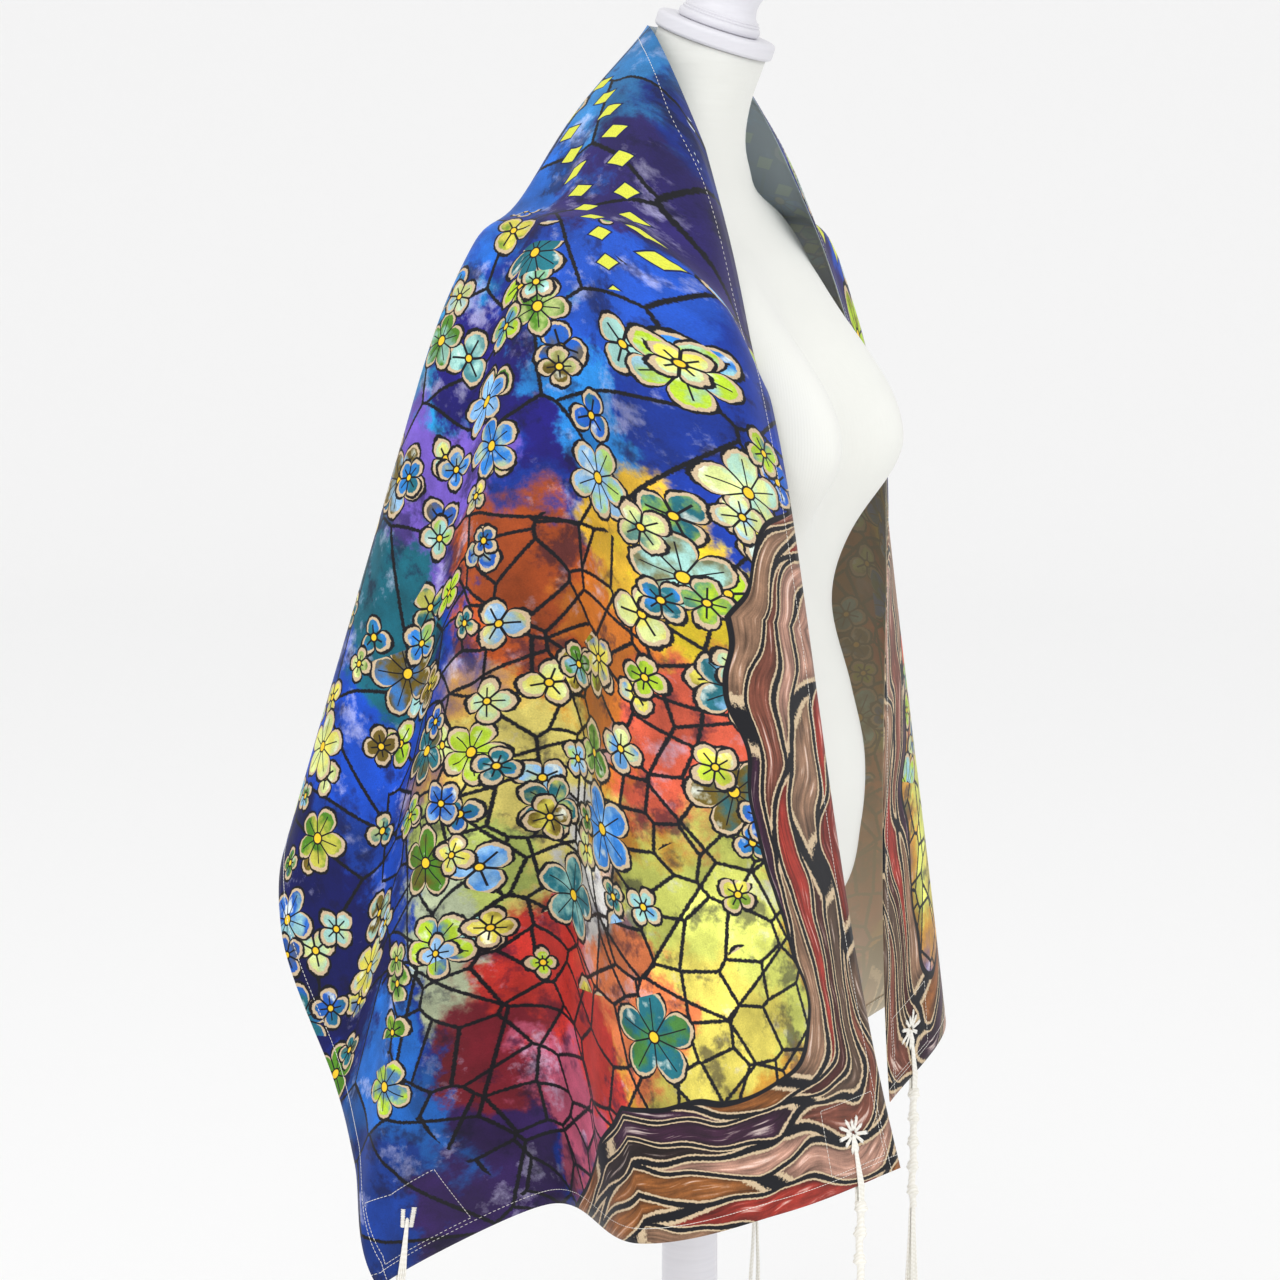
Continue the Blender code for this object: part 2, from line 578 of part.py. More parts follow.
def make_tassel(corner, grid):
    """One tassel: two straps from the hole over the hem, a knotted head, and eight free strands."""
    course, normals = strap_course(corner, grid)
    out = normals[0] * np.array([1.0, 1.0, 0.0])
    out = out / np.linalg.norm(out)
    sideways = np.cross(out, [0.0, 0.0, 1.0])
    top = course[0] - out * CLOTH_WALL / 2 - np.array([0.0, 0.0, HEAD_DROP])
    sway = np.array([corner.sway_x, corner.sway_y, 0.0])
    head_length = KNOTS * KNOT_PITCH
    whole = head_length + corner.length

    def level(depth, flat):
        """Points of a level this far below the tassel's top, from flat (sideways, out) pairs."""
        centre = top + sway * (depth / whole) ** 2 - np.array([0.0, 0.0, depth])
        return centre + flat[..., :1] * sideways + flat[..., 1:] * out

    made = Sprouting()
    pattern = disc_grid(1.0)
    numbers = {}
    for end, depth in (("top", 0.0), ("bottom", head_length)):
        placed = level(depth, pattern * WINDING_RADIUS)
        numbers[end] = {(i, j): made.ring([placed[i, j]])[0] for i in range(5) for j in range(3)}
    low = [numbers["top"][key] for key in OUTLINE_12]
    rim = np.array([pattern[key] for key in OUTLINE_12])
    for knot in range(KNOTS):
        for share, radius in KNOT_SHAPE:
            high = made.ring(level((knot + share) * KNOT_PITCH, rim * radius))
            made.band(low, high)
            low = high
    made.band(low, [numbers["bottom"][key] for key in OUTLINE_12])

    for outline, low_side, high_side in (
        (OUTER_STRAP, STRAP_CLEARANCE_OUT, STRAP_CLEARANCE_OUT + STRAP_DEPTH),
        (INNER_STRAP, -CLOTH_WALL - STRAP_CLEARANCE_IN, -CLOTH_WALL - STRAP_CLEARANCE_IN - STRAP_DEPTH),
    ):
        flat = np.array([pattern[key] for key in outline]) * WINDING_RADIUS
        inset = flat.mean(0) + (flat - flat.mean(0)) * 0.75
        rings = strap_rings(course, normals, low_side, high_side)
        made.grow([numbers["top"][key] for key in outline], [level(0.0, inset)] + rings)
    for i, j in ((0, 0), (3, 0), (0, 1), (3, 1)):
        made.faces.append([numbers["top"][key] for key in ((i, j), (i + 1, j), (i + 1, j + 1), (i, j + 1))])

    for i in range(4):
        for j in range(2):
            keys = ((i, j), (i + 1, j), (i + 1, j + 1), (i, j + 1))
            flat = np.array([pattern[key] for key in keys]) * WINDING_RADIUS
            centre = flat.mean(0)
            section = (flat - centre) / np.linalg.norm(flat - centre, axis=-1, keepdims=True) * STRAND_RADIUS
            rings = [level(head_length, centre + (flat - centre) * 0.6)]
            for share in np.linspace(0, 1, STRAND_LEVELS + 1)[1:]:
                apart = centre / WINDING_RADIUS * corner.spread * share**1.5
                trim = 1 - STRAND_TRIM * ((3 * i + 5 * j) % 4)
                depth = head_length + corner.length * share * trim
                rings.append(level(depth, centre + apart + section))
            made.grow([numbers["bottom"][key] for key in keys], rings)
    add_object("tassel_" + corner.name, made.points, made.faces, THREAD)


def main():
    """Clears the scene and builds every piece."""
    for old in list(bpy.data.objects):
        bpy.data.objects.remove(old)
    make_form()
    make_cap_and_knob()
    make_stand()
    grid = cloth_grid()
    make_shawl(grid)
    for corner in CORNERS:
        make_patch(corner, grid)
        make_tassel(corner, grid)


main()
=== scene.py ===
"""The looks of a printed prayer shawl on a limbless dress form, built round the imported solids.

Metres, +Z up, the form faces -Y and its right shoulder is at -X. The cloth is the same worn rectangle as its
solid, on a finer grid, with its creases, hems, stitches, eyelets, corner patches and tassels.
"""

import math
from typing import NamedTuple

import bpy
import numpy as np
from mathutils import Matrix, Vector


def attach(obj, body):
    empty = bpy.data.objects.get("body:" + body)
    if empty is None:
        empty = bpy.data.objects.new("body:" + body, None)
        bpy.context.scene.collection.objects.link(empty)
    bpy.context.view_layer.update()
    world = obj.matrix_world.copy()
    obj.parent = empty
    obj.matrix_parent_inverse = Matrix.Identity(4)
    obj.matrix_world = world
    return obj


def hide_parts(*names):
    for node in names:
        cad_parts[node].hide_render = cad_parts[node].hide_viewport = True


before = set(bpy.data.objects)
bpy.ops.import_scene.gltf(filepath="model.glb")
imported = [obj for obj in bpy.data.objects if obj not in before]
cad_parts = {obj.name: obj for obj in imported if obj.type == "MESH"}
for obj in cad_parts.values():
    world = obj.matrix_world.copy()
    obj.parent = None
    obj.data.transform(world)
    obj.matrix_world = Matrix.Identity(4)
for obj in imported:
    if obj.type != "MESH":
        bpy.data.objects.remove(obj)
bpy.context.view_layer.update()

# The cloth as it is cut and hemmed, and how it is worn: the same values as its solid.
CLOTH_HALF = 1.03
CLOTH_WIDTH = 0.56
CLOTH_THICK = 0.0005
GRID_ALONG = 400
GRID_ACROSS = 108
HEM = 0.013
PATCH_ALONG = 0.056
PATCH_ACROSS = 0.068
NECK_SHARE_LENGTH = 0.175
NECK_BACK_RADIUS = 0.042
NECK_FRONT_RADIUS = 0.088
NECK_WIDENING = 3.0
NECK_CENTRE_Y = -0.006
NECK_FRONT_ANGLE = math.radians(62.0)
NECK_BACK_HEIGHT = 1.467
NECK_FRONT_HEIGHT = 1.366
NECK_SLOPE_POWER = 4.6
SHOULDER_ROUND = 0.60
SADDLE_SAG = 0.020
BOW_PEAK = 27 / 4
HALVINGS = 44
NORMAL_STEP = 0.0015

# Layers on the cloth's inner face: their clearance from it and their own thickness, and seam distances.
HEM_INSET = 0.0006
FOLD_GAP = 0.0001
PATCH_GAP = 0.0006
LAYER_THICK = 0.0004
SEAM_IN = 0.0015
BAND_COLUMNS = 4
PATCH_ROWS = 15
PATCH_COLUMNS = 17
TUBE_TIP = 0.05


class FallLine(NamedTuple):
    """One fold: where its line leaves the shoulder and where it ends, as in the solid."""

    name: str
    edge: float
    neck: float
    shoulder_x: float
    shoulder_y: float
    shoulder_z: float
    end_x: float
    end_y: float
    slack: float
    bow: float


FALL_LINES = (
    FallLine("left front corner", -1.590, -1.00, 0.118, -0.130, 1.165, 0.064, -0.160, 0.026, -0.006),
    FallLine("left front fold", -1.450, -0.93, 0.168, -0.086, 1.235, 0.174, -0.170, 0.044, 0.000),
    FallLine("left side fold", -1.310, -0.85, 0.203, -0.046, 1.297, 0.264, -0.102, 0.036, 0.006),
    FallLine("left hem hollow", -1.170, -0.76, 0.210, -0.008, 1.307, 0.190, -0.010, 0.020, 0.000),
    FallLine("left back corner", -1.030, -0.68, 0.212, 0.022, 1.308, 0.300, 0.075, 0.030, 0.004),
    FallLine("left corner fold", -0.920, -0.63, 0.211, 0.040, 1.307, 0.285, 0.125, 0.022, 0.003),
    FallLine("left edge hollow", -0.800, -0.57, 0.208, 0.056, 1.305, 0.232, 0.152, 0.000, 0.000),
    FallLine("left edge fold", -0.670, -0.51, 0.202, 0.078, 1.302, 0.252, 0.222, 0.000, 0.004),
    FallLine("left back flute", -0.560, -0.45, 0.190, 0.106, 1.292, 0.232, 0.252, 0.000, 0.006),
    FallLine("left back hollow", -0.430, -0.36, 0.158, 0.118, 1.274, 0.180, 0.158, 0.000, 0.000),
    FallLine("left blade fold", -0.300, -0.26, 0.116, 0.124, 1.252, 0.120, 0.234, 0.000, 0.006),
    FallLine("left spine hollow", -0.150, -0.13, 0.062, 0.121, 1.240, 0.060, 0.134, 0.000, 0.000),
    FallLine("centre back", 0.000, 0.00, 0.000, 0.121, 1.236, 0.004, 0.208, 0.000, 0.006),
    FallLine("right spine hollow", 0.150, 0.13, -0.062, 0.121, 1.240, -0.055, 0.133, 0.000, 0.000),
    FallLine("right blade fold", 0.295, 0.26, -0.116, 0.124, 1.252, -0.120, 0.230, 0.000, 0.006),
    FallLine("right back hollow", 0.420, 0.36, -0.160, 0.119, 1.276, -0.184, 0.164, 0.000, 0.000),
    FallLine("right back flute", 0.545, 0.45, -0.194, 0.111, 1.296, -0.243, 0.237, -0.006, 0.000),
    FallLine("right edge fold", 0.670, 0.51, -0.205, 0.082, 1.302, -0.278, 0.232, -0.012, 0.002),
    FallLine("right edge hollow", 0.800, 0.57, -0.208, 0.056, 1.305, -0.257, 0.198, -0.032, 0.000),
    FallLine("right corner fold", 0.920, 0.63, -0.211, 0.040, 1.307, -0.270, 0.172, 0.004, 0.003),
    FallLine("right back corner", 1.030, 0.68, -0.212, 0.022, 1.308, -0.285, 0.142, 0.003, 0.004),
    FallLine("right hem hollow", 1.160, 0.76, -0.210, -0.008, 1.307, -0.186, 0.042, 0.006, 0.000),
    FallLine("right side fold", 1.310, 0.85, -0.200, -0.045, 1.297, -0.285, -0.092, -0.018, 0.008),
    FallLine("right front fold", 1.450, 0.93, -0.165, -0.108, 1.238, -0.215, -0.178, -0.005, 0.000),
    FallLine("right front corner", 1.590, 1.00, -0.118, -0.127, 1.165, -0.085, -0.226, 0.020, -0.013),
)


class Crease(NamedTuple):
    """A soft ridge, or a trough where its height is less than 0, on the flat cloth, in metres.

    It runs from one point (along, across) to another, bowed aside by bend, and fades at both ends.
    """

    from_along: float
    from_across: float
    to_along: float
    to_across: float
    bend: float
    width: float
    height: float


CREASES = (
    Crease(0.52, 0.20, 0.90, 0.46, 0.020, 0.016, -0.0060),
    Crease(0.60, 0.16, 0.97, 0.38, -0.010, 0.022, 0.0035),
    Crease(0.30, 0.10, 0.62, 0.22, 0.010, 0.020, 0.0030),
    Crease(0.36, 0.30, 0.66, 0.48, -0.014, 0.018, 0.0034),
    Crease(0.70, 0.10, 1.00, 0.20, 0.008, 0.018, -0.0028),
    Crease(0.80, 0.24, 1.01, 0.33, 0.006, 0.016, 0.0030),
    Crease(-0.52, 0.22, -0.88, 0.44, 0.016, 0.017, -0.0050),
    Crease(-0.62, 0.14, -0.98, 0.36, -0.012, 0.022, 0.0034),
    Crease(-0.34, 0.30, -0.64, 0.50, 0.014, 0.018, 0.0032),
    Crease(0.04, 0.20, 0.07, 0.54, 0.006, 0.015, 0.0030),
    Crease(-0.20, 0.22, -0.24, 0.54, -0.008, 0.016, -0.0030),
    Crease(0.22, 0.24, 0.30, 0.55, 0.008, 0.015, -0.0032),
)


class FormSection(NamedTuple):
    """One level of the dress form: its centre, half width, reach to front and back, and tilt."""

    height: float
    centre_y: float
    half_width: float
    front: float
    back: float
    tilt: float


FORM_SECTIONS = (
    FormSection(0.700, 0.000, 0.060, 0.045, 0.045, 0.0),
    FormSection(0.702, 0.000, 0.110, 0.078, 0.080, 0.0),
    FormSection(0.712, 0.000, 0.138, 0.096, 0.104, 0.0),
    FormSection(0.740, 0.000, 0.155, 0.120, 0.116, 0.0),
    FormSection(0.800, 0.000, 0.167, 0.136, 0.124, 0.0),
    FormSection(0.860, 0.000, 0.165, 0.139, 0.120, 0.0),
    FormSection(0.920, 0.000, 0.148, 0.128, 0.096, 0.0),
    FormSection(0.990, 0.000, 0.124, 0.112, 0.072, 0.0),
    FormSection(1.050, 0.000, 0.130, 0.112, 0.078, 0.0),
    FormSection(1.110, 0.000, 0.143, 0.108, 0.094, 0.0),
    FormSection(1.170, 0.000, 0.152, 0.100, 0.106, 0.0),
    FormSection(1.230, 0.000, 0.171, 0.082, 0.104, 0.0),
    FormSection(1.275, 0.004, 0.1927, 0.066, 0.0926, 0.0),
    FormSection(1.300, 0.012, 0.1927, 0.056, 0.0753, 0.0),
    FormSection(1.318, 0.016, 0.1707, 0.052, 0.0655, 2.0),
    FormSection(1.336, 0.014, 0.114, 0.047, 0.052, 5.0),
    FormSection(1.358, 0.010, 0.086, 0.044, 0.048, 8.0),
    FormSection(1.378, 0.004, 0.062, 0.041, 0.048, 11.0),
    FormSection(1.410, -0.004, 0.048, 0.040, 0.046, 15.0),
    FormSection(1.452, -0.018, 0.045, 0.041, 0.043, 20.0),
)
SECTION_POWER = 2.25
BREAST_HEIGHT = 1.135
BREAST_SIDE = 0.075
BREAST_SWELL = 0.0690
BREAST_WIDE = 0.046
BREAST_ABOVE = 0.105
BREAST_BELOW = 0.072
FORM_RINGS = 150
FORM_SIDES = 144

CAP_TILT = math.radians(20.0)
CAP_SEAT = 0.0005
CAP_THICK = 0.0135
STAND_GAP = 0.0003
TURNED_SIDES = 96


class Corner(NamedTuple):
    """One corner of the shawl: its side, whether on the outer edge, and how its tassel hangs."""

    name: str
    side: float
    on_outer_edge: bool
    sway_x: float
    sway_y: float
    spread: float
    length: float


CORNERS = (
    Corner("right_front", 1.0, False, 0.006, -0.004, 0.013, 0.190),
    Corner("right_back", 1.0, True, -0.004, 0.006, 0.015, 0.175),
    Corner("left_front", -1.0, False, -0.005, -0.003, 0.014, 0.185),
    Corner("left_back", -1.0, True, 0.003, 0.005, 0.012, 0.195),
)


def hermite(knots, values, at):
    """A smooth curve through the rows of values: cubic pieces with the slope of the neighbours."""
    knots = np.asarray(knots, float)
    values = np.asarray(values, float)
    slopes = np.gradient(values, knots, axis=0)
    piece = np.clip(np.searchsorted(knots, at, side="right") - 1, 0, len(knots) - 2)
    span = knots[piece + 1] - knots[piece]
    share = ((at - knots[piece]) / span)[..., None]
    span = span[..., None]
    start, end = values[piece], values[piece + 1]
    leave, arrive = slopes[piece] * span, slopes[piece + 1] * span
    square, cube = share**2, share**3
    return (
        start * (2 * cube - 3 * square + 1)
        + leave * (cube - 2 * square + share)
        + end * (3 * square - 2 * cube)
        + arrive * (cube - square)
    )


def neck_point(share):
    """The neck edge's upper stretch: a widening arc round the neck that drops to the front."""
    part = np.abs(share)
    angle = math.pi + (NECK_FRONT_ANGLE - math.pi) * part
    radius = NECK_BACK_RADIUS + (NECK_FRONT_RADIUS - NECK_BACK_RADIUS) * part**NECK_WIDENING
    height = NECK_BACK_HEIGHT + (NECK_FRONT_HEIGHT - NECK_BACK_HEIGHT) * part**NECK_SLOPE_POWER
    across = -np.sign(share) * radius * np.sin(angle)
    return np.stack([across, NECK_CENTRE_Y - radius * np.cos(angle), height], -1)


def lower_edge(edge):
    """The flat cloth's point (along, across) at a distance along the lower edge."""
    part = np.abs(edge)
    along = np.sign(edge) * np.minimum(part, CLOTH_HALF)
    across = np.where(part > CLOTH_HALF, CLOTH_WIDTH - (part - CLOTH_HALF), CLOTH_WIDTH)
    return np.stack([along, across], -1)


EDGES = np.array([line.edge for line in FALL_LINES])
LINE_VALUES = np.array([line[2:] for line in FALL_LINES])


def neck_along(edge):
    """Where the fall line that ends at this edge distance starts on the flat neck edge."""
    return hermite(EDGES, LINE_VALUES[:, :1], edge)[..., 0] * NECK_SHARE_LENGTH


def fall_line_through(along, across):
    """(edge, share of the line's length) of the fall line through each point of the flat cloth.

    The side of the line on which the point lies changes sign once, so it is found by halving.
    """
    low = np.full(np.shape(along), EDGES[0])
    high = np.full(np.shape(along), EDGES[-1])
    for _ in range(HALVINGS):
        middle = (low + high) / 2
        end = lower_edge(middle)
        start = neck_along(middle)
        side = (end[..., 0] - start) * across - end[..., 1] * (along - start)
        low, high = np.where(side > 0, low, middle), np.where(side > 0, middle, high)
    end = lower_edge(low)
    start = neck_along(low)
    length = np.hypot(end[..., 0] - start, end[..., 1])
    return low, np.clip(np.hypot(along - start, across) / length, 0.0, 1.0)


def fall_line_point(edge, share):
    """A point on a worn fall line: sagging from neck to shoulder, rounded there, then hanging.

    The line keeps its flat length less the slack, which sets how low it ends.
    """
    values = hermite(EDGES, LINE_VALUES, edge)
    neck = neck_point(values[..., 0])
    shoulder = values[..., 1:4]
    flat_end = lower_edge(edge)
    flat = np.hypot(flat_end[..., 0] - neck_along(edge), flat_end[..., 1]) - values[..., 6]
    first = np.linalg.norm(shoulder - neck, axis=-1)
    aside = values[..., 4:6] - shoulder[..., :2]
    drop = np.sqrt((flat - first) ** 2 - (aside**2).sum(-1))
    end = np.concatenate([values[..., 4:6], (shoulder[..., 2] - drop)[..., None]], -1)
    path, fallen = rounded_corner(neck, shoulder, end, share)
    outward = (end + shoulder)[..., :2]
    outward = outward / np.linalg.norm(outward, axis=-1, keepdims=True)
    bulge = values[..., 7:8] * BOW_PEAK * fallen**2 * (1 - fallen)
    return path + np.concatenate([outward * bulge, 0 * bulge], -1)


def rounded_corner(start, corner, end, share):
    """The path start-corner-end at a share of its length, turning evenly in and out of its corner.

    The first stretch sags by a bump that is level at both ends and deepest near the corner.
    Also returned is the share of the second stretch that lies above the point.
    """
    before, after = corner - start, end - corner
    first = np.linalg.norm(before, axis=-1, keepdims=True)
    second = np.linalg.norm(after, axis=-1, keepdims=True)
    before, after = before / first, after / second
    reach = SHOULDER_ROUND * first
    distance = share[..., None] * (first + second)
    turn = np.clip((distance - (first - reach)) / (2 * reach), 0.0, 1.0)
    turned = turn**3 - turn**4 / 2
    arc = corner + reach * (before * (2 * turn - 2 * turned - 1) + after * 2 * turned)
    on_first = start + before * distance
    on_second = corner + after * (distance - first)
    path = np.where(
        distance < first - reach, on_first, np.where(distance > first + reach, on_second, arc)
    )
    rise = np.clip(distance / first, 0.0, 1.0) ** 2
    sag = SADDLE_SAG * 64 * (rise * (1 - rise)) ** 3
    return path - sag * np.array([0.0, 0.0, 1.0]), np.clip((distance - first) / second, 0.0, 1.0)


def crease_height(along, across):
    """How far the creases move each point out: bell-shaped across each one, faded at its ends."""
    total = np.zeros(np.shape(along))
    for crease in CREASES:
        run = np.array([crease.to_along - crease.from_along, crease.to_across - crease.from_across])
        length = np.hypot(*run)
        run = run / length
        from_start = np.stack([along - crease.from_along, across - crease.from_across], -1)
        share = (from_start @ run) / length
        aside = from_start @ np.array([-run[1], run[0]]) - crease.bend * 4 * share * (1 - share)
        fade = np.clip(share * 4, 0, 1) * np.clip((1 - share) * 4, 0, 1)
        fade = fade**2 * (3 - 2 * fade)
        total += crease.height * fade * np.exp(-((aside / crease.width) ** 2))
    return total


def worn(along, across):
    """Where points of the flat cloth lie, creases included, and the outward normals there."""
    low_along = np.clip(along - NORMAL_STEP, -CLOTH_HALF, CLOTH_HALF)
    high_along = np.clip(along + NORMAL_STEP, -CLOTH_HALF, CLOTH_HALF)
    low_across = np.clip(across - NORMAL_STEP, 0.0, CLOTH_WIDTH)
    high_across = np.clip(across + NORMAL_STEP, 0.0, CLOTH_WIDTH)
    points = fall_line_point(*fall_line_through(along, across))
    ahead = fall_line_point(*fall_line_through(high_along, across))
    ahead = ahead - fall_line_point(*fall_line_through(low_along, across))
    aside = fall_line_point(*fall_line_through(along, high_across))
    aside = aside - fall_line_point(*fall_line_through(along, low_across))
    normal = np.cross(aside, ahead)
    normal = normal / np.linalg.norm(normal, axis=-1, keepdims=True)
    return points + normal * crease_height(along, across)[..., None], normal


def linear(hex_colour):
    """A colour written as sRGB hex, as linear red, green, blue and alpha."""
    parts = np.array([int(hex_colour[k:k + 2], 16) for k in (1, 3, 5)]) / 255
    parts = np.where(parts <= 0.04045, parts / 12.92, ((parts + 0.055) / 1.055) ** 2.4)
    return (*parts.tolist(), 1.0)


def connect(tree, node, inputs):
    """Links each input that is given a socket or a node, and sets every other one.

    A node stands for the first of its outputs that is in use.
    """
    for key, value in inputs.items():
        if isinstance(value, bpy.types.Node):
            value = next(socket for socket in value.outputs if socket.enabled)
        if isinstance(value, bpy.types.NodeSocket):
            tree.links.new(value, node.inputs[key])
        else:
            node.inputs[key].default_value = value


def add(tree, kind, inputs=None, **settings):
    """Adds a shader node with its settings, and connects its inputs."""
    made = tree.nodes.new("ShaderNode" + kind)
    for name, value in settings.items():
        setattr(made, name, value)
    connect(tree, made, inputs or {})
    return made


def new_material(name):
    """A material with an empty Principled shader: (material, its node tree, the shader)."""
    made = bpy.data.materials.new(name)
    made.use_nodes = True
    return made, made.node_tree, made.node_tree.nodes["Principled BSDF"]


def add_piece(name, points, faces, materials, uv=None):
    """A smooth-shaded piece from whole arrays of points and of three- or four-sided faces."""
    mesh = bpy.data.meshes.new(name)
    points = np.asarray(points, float).reshape(-1, 3)
    faces = np.asarray(faces, int)
    sides = faces.shape[1]
    mesh.vertices.add(len(points))
    mesh.vertices.foreach_set("co", points.ravel())
    mesh.loops.add(faces.size)
    mesh.loops.foreach_set("vertex_index", faces.ravel())
    mesh.polygons.add(len(faces))
    mesh.polygons.foreach_set("loop_start", np.arange(len(faces)) * sides)
    mesh.update(calc_edges=True)
    if uv is not None:
        layer = mesh.uv_layers.new(name="flat")
        layer.data.foreach_set("uv", np.asarray(uv, float).reshape(-1, 2)[faces.ravel()].ravel())
    mesh.validate()
    mesh.shade_smooth()
    for finish in materials:
        mesh.materials.append(finish)
    piece = bpy.data.objects.new(name, mesh)
    bpy.context.scene.collection.objects.link(piece)
    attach(piece, "root")
    return piece


def grid_faces(rows, columns, around=False):
    """Four-sided faces of a grid of points, joined to its start across the columns if around."""
    index = np.arange(rows * columns).reshape(rows, columns)
    if around:
        index = np.concatenate([index, index[:, :1]], 1)
    return np.stack([index[:-1, :-1], index[:-1, 1:], index[1:, 1:], index[1:, :-1]], -1).reshape(-1, 4)


def run_along(points):
    """The distance along a polyline at each of its points."""
    return np.concatenate([[0], np.cumsum(np.linalg.norm(np.diff(points, axis=0), axis=-1))])


def flat_uv(along, across):
    """The cloth's UV map: its flat coordinates, both divided by its length."""
    return np.stack([(along + CLOTH_HALF) / (2 * CLOTH_HALF), across / (2 * CLOTH_HALF)], -1)


def closed_surface(rings):
    """Points and triangles of a body from its rings, closed by a fan about each end's middle."""
    levels, sides = rings.shape[:2]
    quads = grid_faces(levels, sides, around=True)
    points = np.vstack([rings.reshape(-1, 3), rings[0].mean(0), rings[-1].mean(0)])
    low = np.arange(sides)
    high = low + (levels - 1) * sides
    bottom = np.stack([np.roll(low, -1), low, np.full(sides, levels * sides)], -1)
    top = np.stack([high, np.roll(high, -1), np.full(sides, levels * sides + 1)], -1)
    return points, np.vstack([quads[:, [0, 1, 2]], quads[:, [0, 2, 3]], bottom, top])


def form_surface(heights, angles):
    """Superellipses of the form's table, with two breasts raised, at heights and angles."""
    levels = [section.height for section in FORM_SECTIONS]
    rows = hermite(levels, np.array([section[1:] for section in FORM_SECTIONS]), heights)
    centre, half_width, front, back, tilt = (rows[:, k, None] for k in range(5))
    cosine, sine = np.cos(angles), np.sin(angles)
    x = half_width * np.sign(cosine) * np.abs(cosine) ** (2 / SECTION_POWER)
    depth = np.where(sine < 0, front, back)
    y = depth * np.sign(sine) * np.abs(sine) ** (2 / SECTION_POWER)
    aside = (np.abs(x) - BREAST_SIDE) / BREAST_WIDE
    rise = heights[:, None] - BREAST_HEIGHT
    above = rise / np.where(rise > 0, BREAST_ABOVE, BREAST_BELOW)
    swell = BREAST_SWELL * np.exp(-(aside**2) - above**2) * np.sqrt(np.clip(-sine, 0, 1))
    return np.stack([x, y - swell + centre, heights[:, None] + y * np.tan(np.radians(tilt))], -1)


def tilted(points, pivot):
    """Points turned forward about the X direction by the cap's tilt, then moved to the pivot."""
    cosine, sine = math.cos(CAP_TILT), math.sin(CAP_TILT)
    turned = points @ np.array([[1, 0, 0], [0, cosine, sine], [0, -sine, cosine]])
    return turned + pivot


def turned(profile, steps):
    """Rings of a turned piece: straight runs between its (height, radius) rows, in even steps."""
    rows = np.array(profile)
    run = run_along(rows)
    at = np.unique(np.concatenate([np.linspace(0, run[-1], steps), run]))
    z, r = np.interp(at, run, rows[:, 0]), np.interp(at, run, rows[:, 1])
    angles = np.arange(TURNED_SIDES) * 2 * math.pi / TURNED_SIDES
    x, y = r[:, None] * np.cos(angles), r[:, None] * np.sin(angles)
    return np.stack([x, y, z[:, None] + 0 * angles], -1)


def tubes(paths, radius, sides):
    """Points, faces and UVs of round threads along many paths at once.

    paths is (threads, steps, 3); each ring stands square to its path on two directions that are
    carried from one fixed side, and the ends are nearly closed by narrowing their last ring.
    """
    paths = np.asarray(paths, float)
    threads, steps = paths.shape[:2]
    along = np.gradient(paths, axis=1)
    along /= np.linalg.norm(along, axis=-1, keepdims=True) + 1e-12
    side = np.cross(along, np.array([0.31, 0.87, 0.38]))
    side /= np.linalg.norm(side, axis=-1, keepdims=True)
    other = np.cross(along, side)
    angles = np.arange(sides) * 2 * math.pi / sides
    width = np.full((threads, steps), float(radius))
    width[:, [0, -1]] *= TUBE_TIP
    ring = side[:, :, None] * np.cos(angles)[:, None] + other[:, :, None] * np.sin(angles)[:, None]
    points = paths[:, :, None] + ring * width[:, :, None, None]
    one = grid_faces(steps, sides, around=True)
    faces = (one[None] + (np.arange(threads) * steps * sides)[:, None, None]).reshape(-1, 4)
    lengths = np.linalg.norm(np.diff(paths, axis=1), axis=-1)
    run = np.concatenate([np.zeros((threads, 1)), np.cumsum(lengths, 1)], 1)
    uv = np.stack(np.broadcast_arrays(run[:, :, None] / 2, angles / (2 * math.pi)), -1)
    return points.reshape(-1, 3), faces, uv.reshape(-1, 2)


def make_shawl(outer_finish, inner_finish):
    """The cloth: a fine grid on the flat rectangle, worn and creased, then given its thickness."""
    along, across = np.meshgrid(
        np.linspace(-CLOTH_HALF, CLOTH_HALF, GRID_ALONG + 1),
        np.linspace(0.0, CLOTH_WIDTH, GRID_ACROSS + 1),
        indexing="ij",
    )
    points, _ = worn(along, across)
    faces = grid_faces(GRID_ALONG + 1, GRID_ACROSS + 1)
    cloth = add_piece(
        "shawl", points, faces, (outer_finish, inner_finish), flat_uv(along, across)
    )
    wall = cloth.modifiers.new("wall", "SOLIDIFY")
    wall.thickness = CLOTH_THICK
    wall.offset = -1.0
    wall.material_offset = 1
    wall.material_offset_rim = 0
    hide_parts("shawl_cloth")
    return cloth


def band_on_cloth(along, across, depth, thick):
    """A closed flat band on the cloth's inner face: (points, faces, UVs) of its two faces and rim.

    along and across are grids of flat points; depth and thick are measured inward from the outer face.
    """
    points, normal = worn(along, across)
    rows, columns = along.shape
    count = rows * columns
    near = (points - normal * depth).reshape(-1, 3)
    far = (points - normal * (depth + thick)).reshape(-1, 3)
    front = grid_faces(rows, columns)
    index = np.arange(count).reshape(rows, columns)
    rim = np.concatenate([index[:-1, 0], index[-1, :-1], index[:0:-1, -1], index[0, :0:-1]])
    after = np.roll(rim, -1)
    sides = np.stack([after, rim, rim + count, after + count], -1)
    uv = flat_uv(along, across).reshape(-1, 2)
    faces = np.vstack([front, front[:, ::-1] + count, sides[:, ::-1]])
    return np.vstack([near, far]), faces, np.vstack([uv, uv])


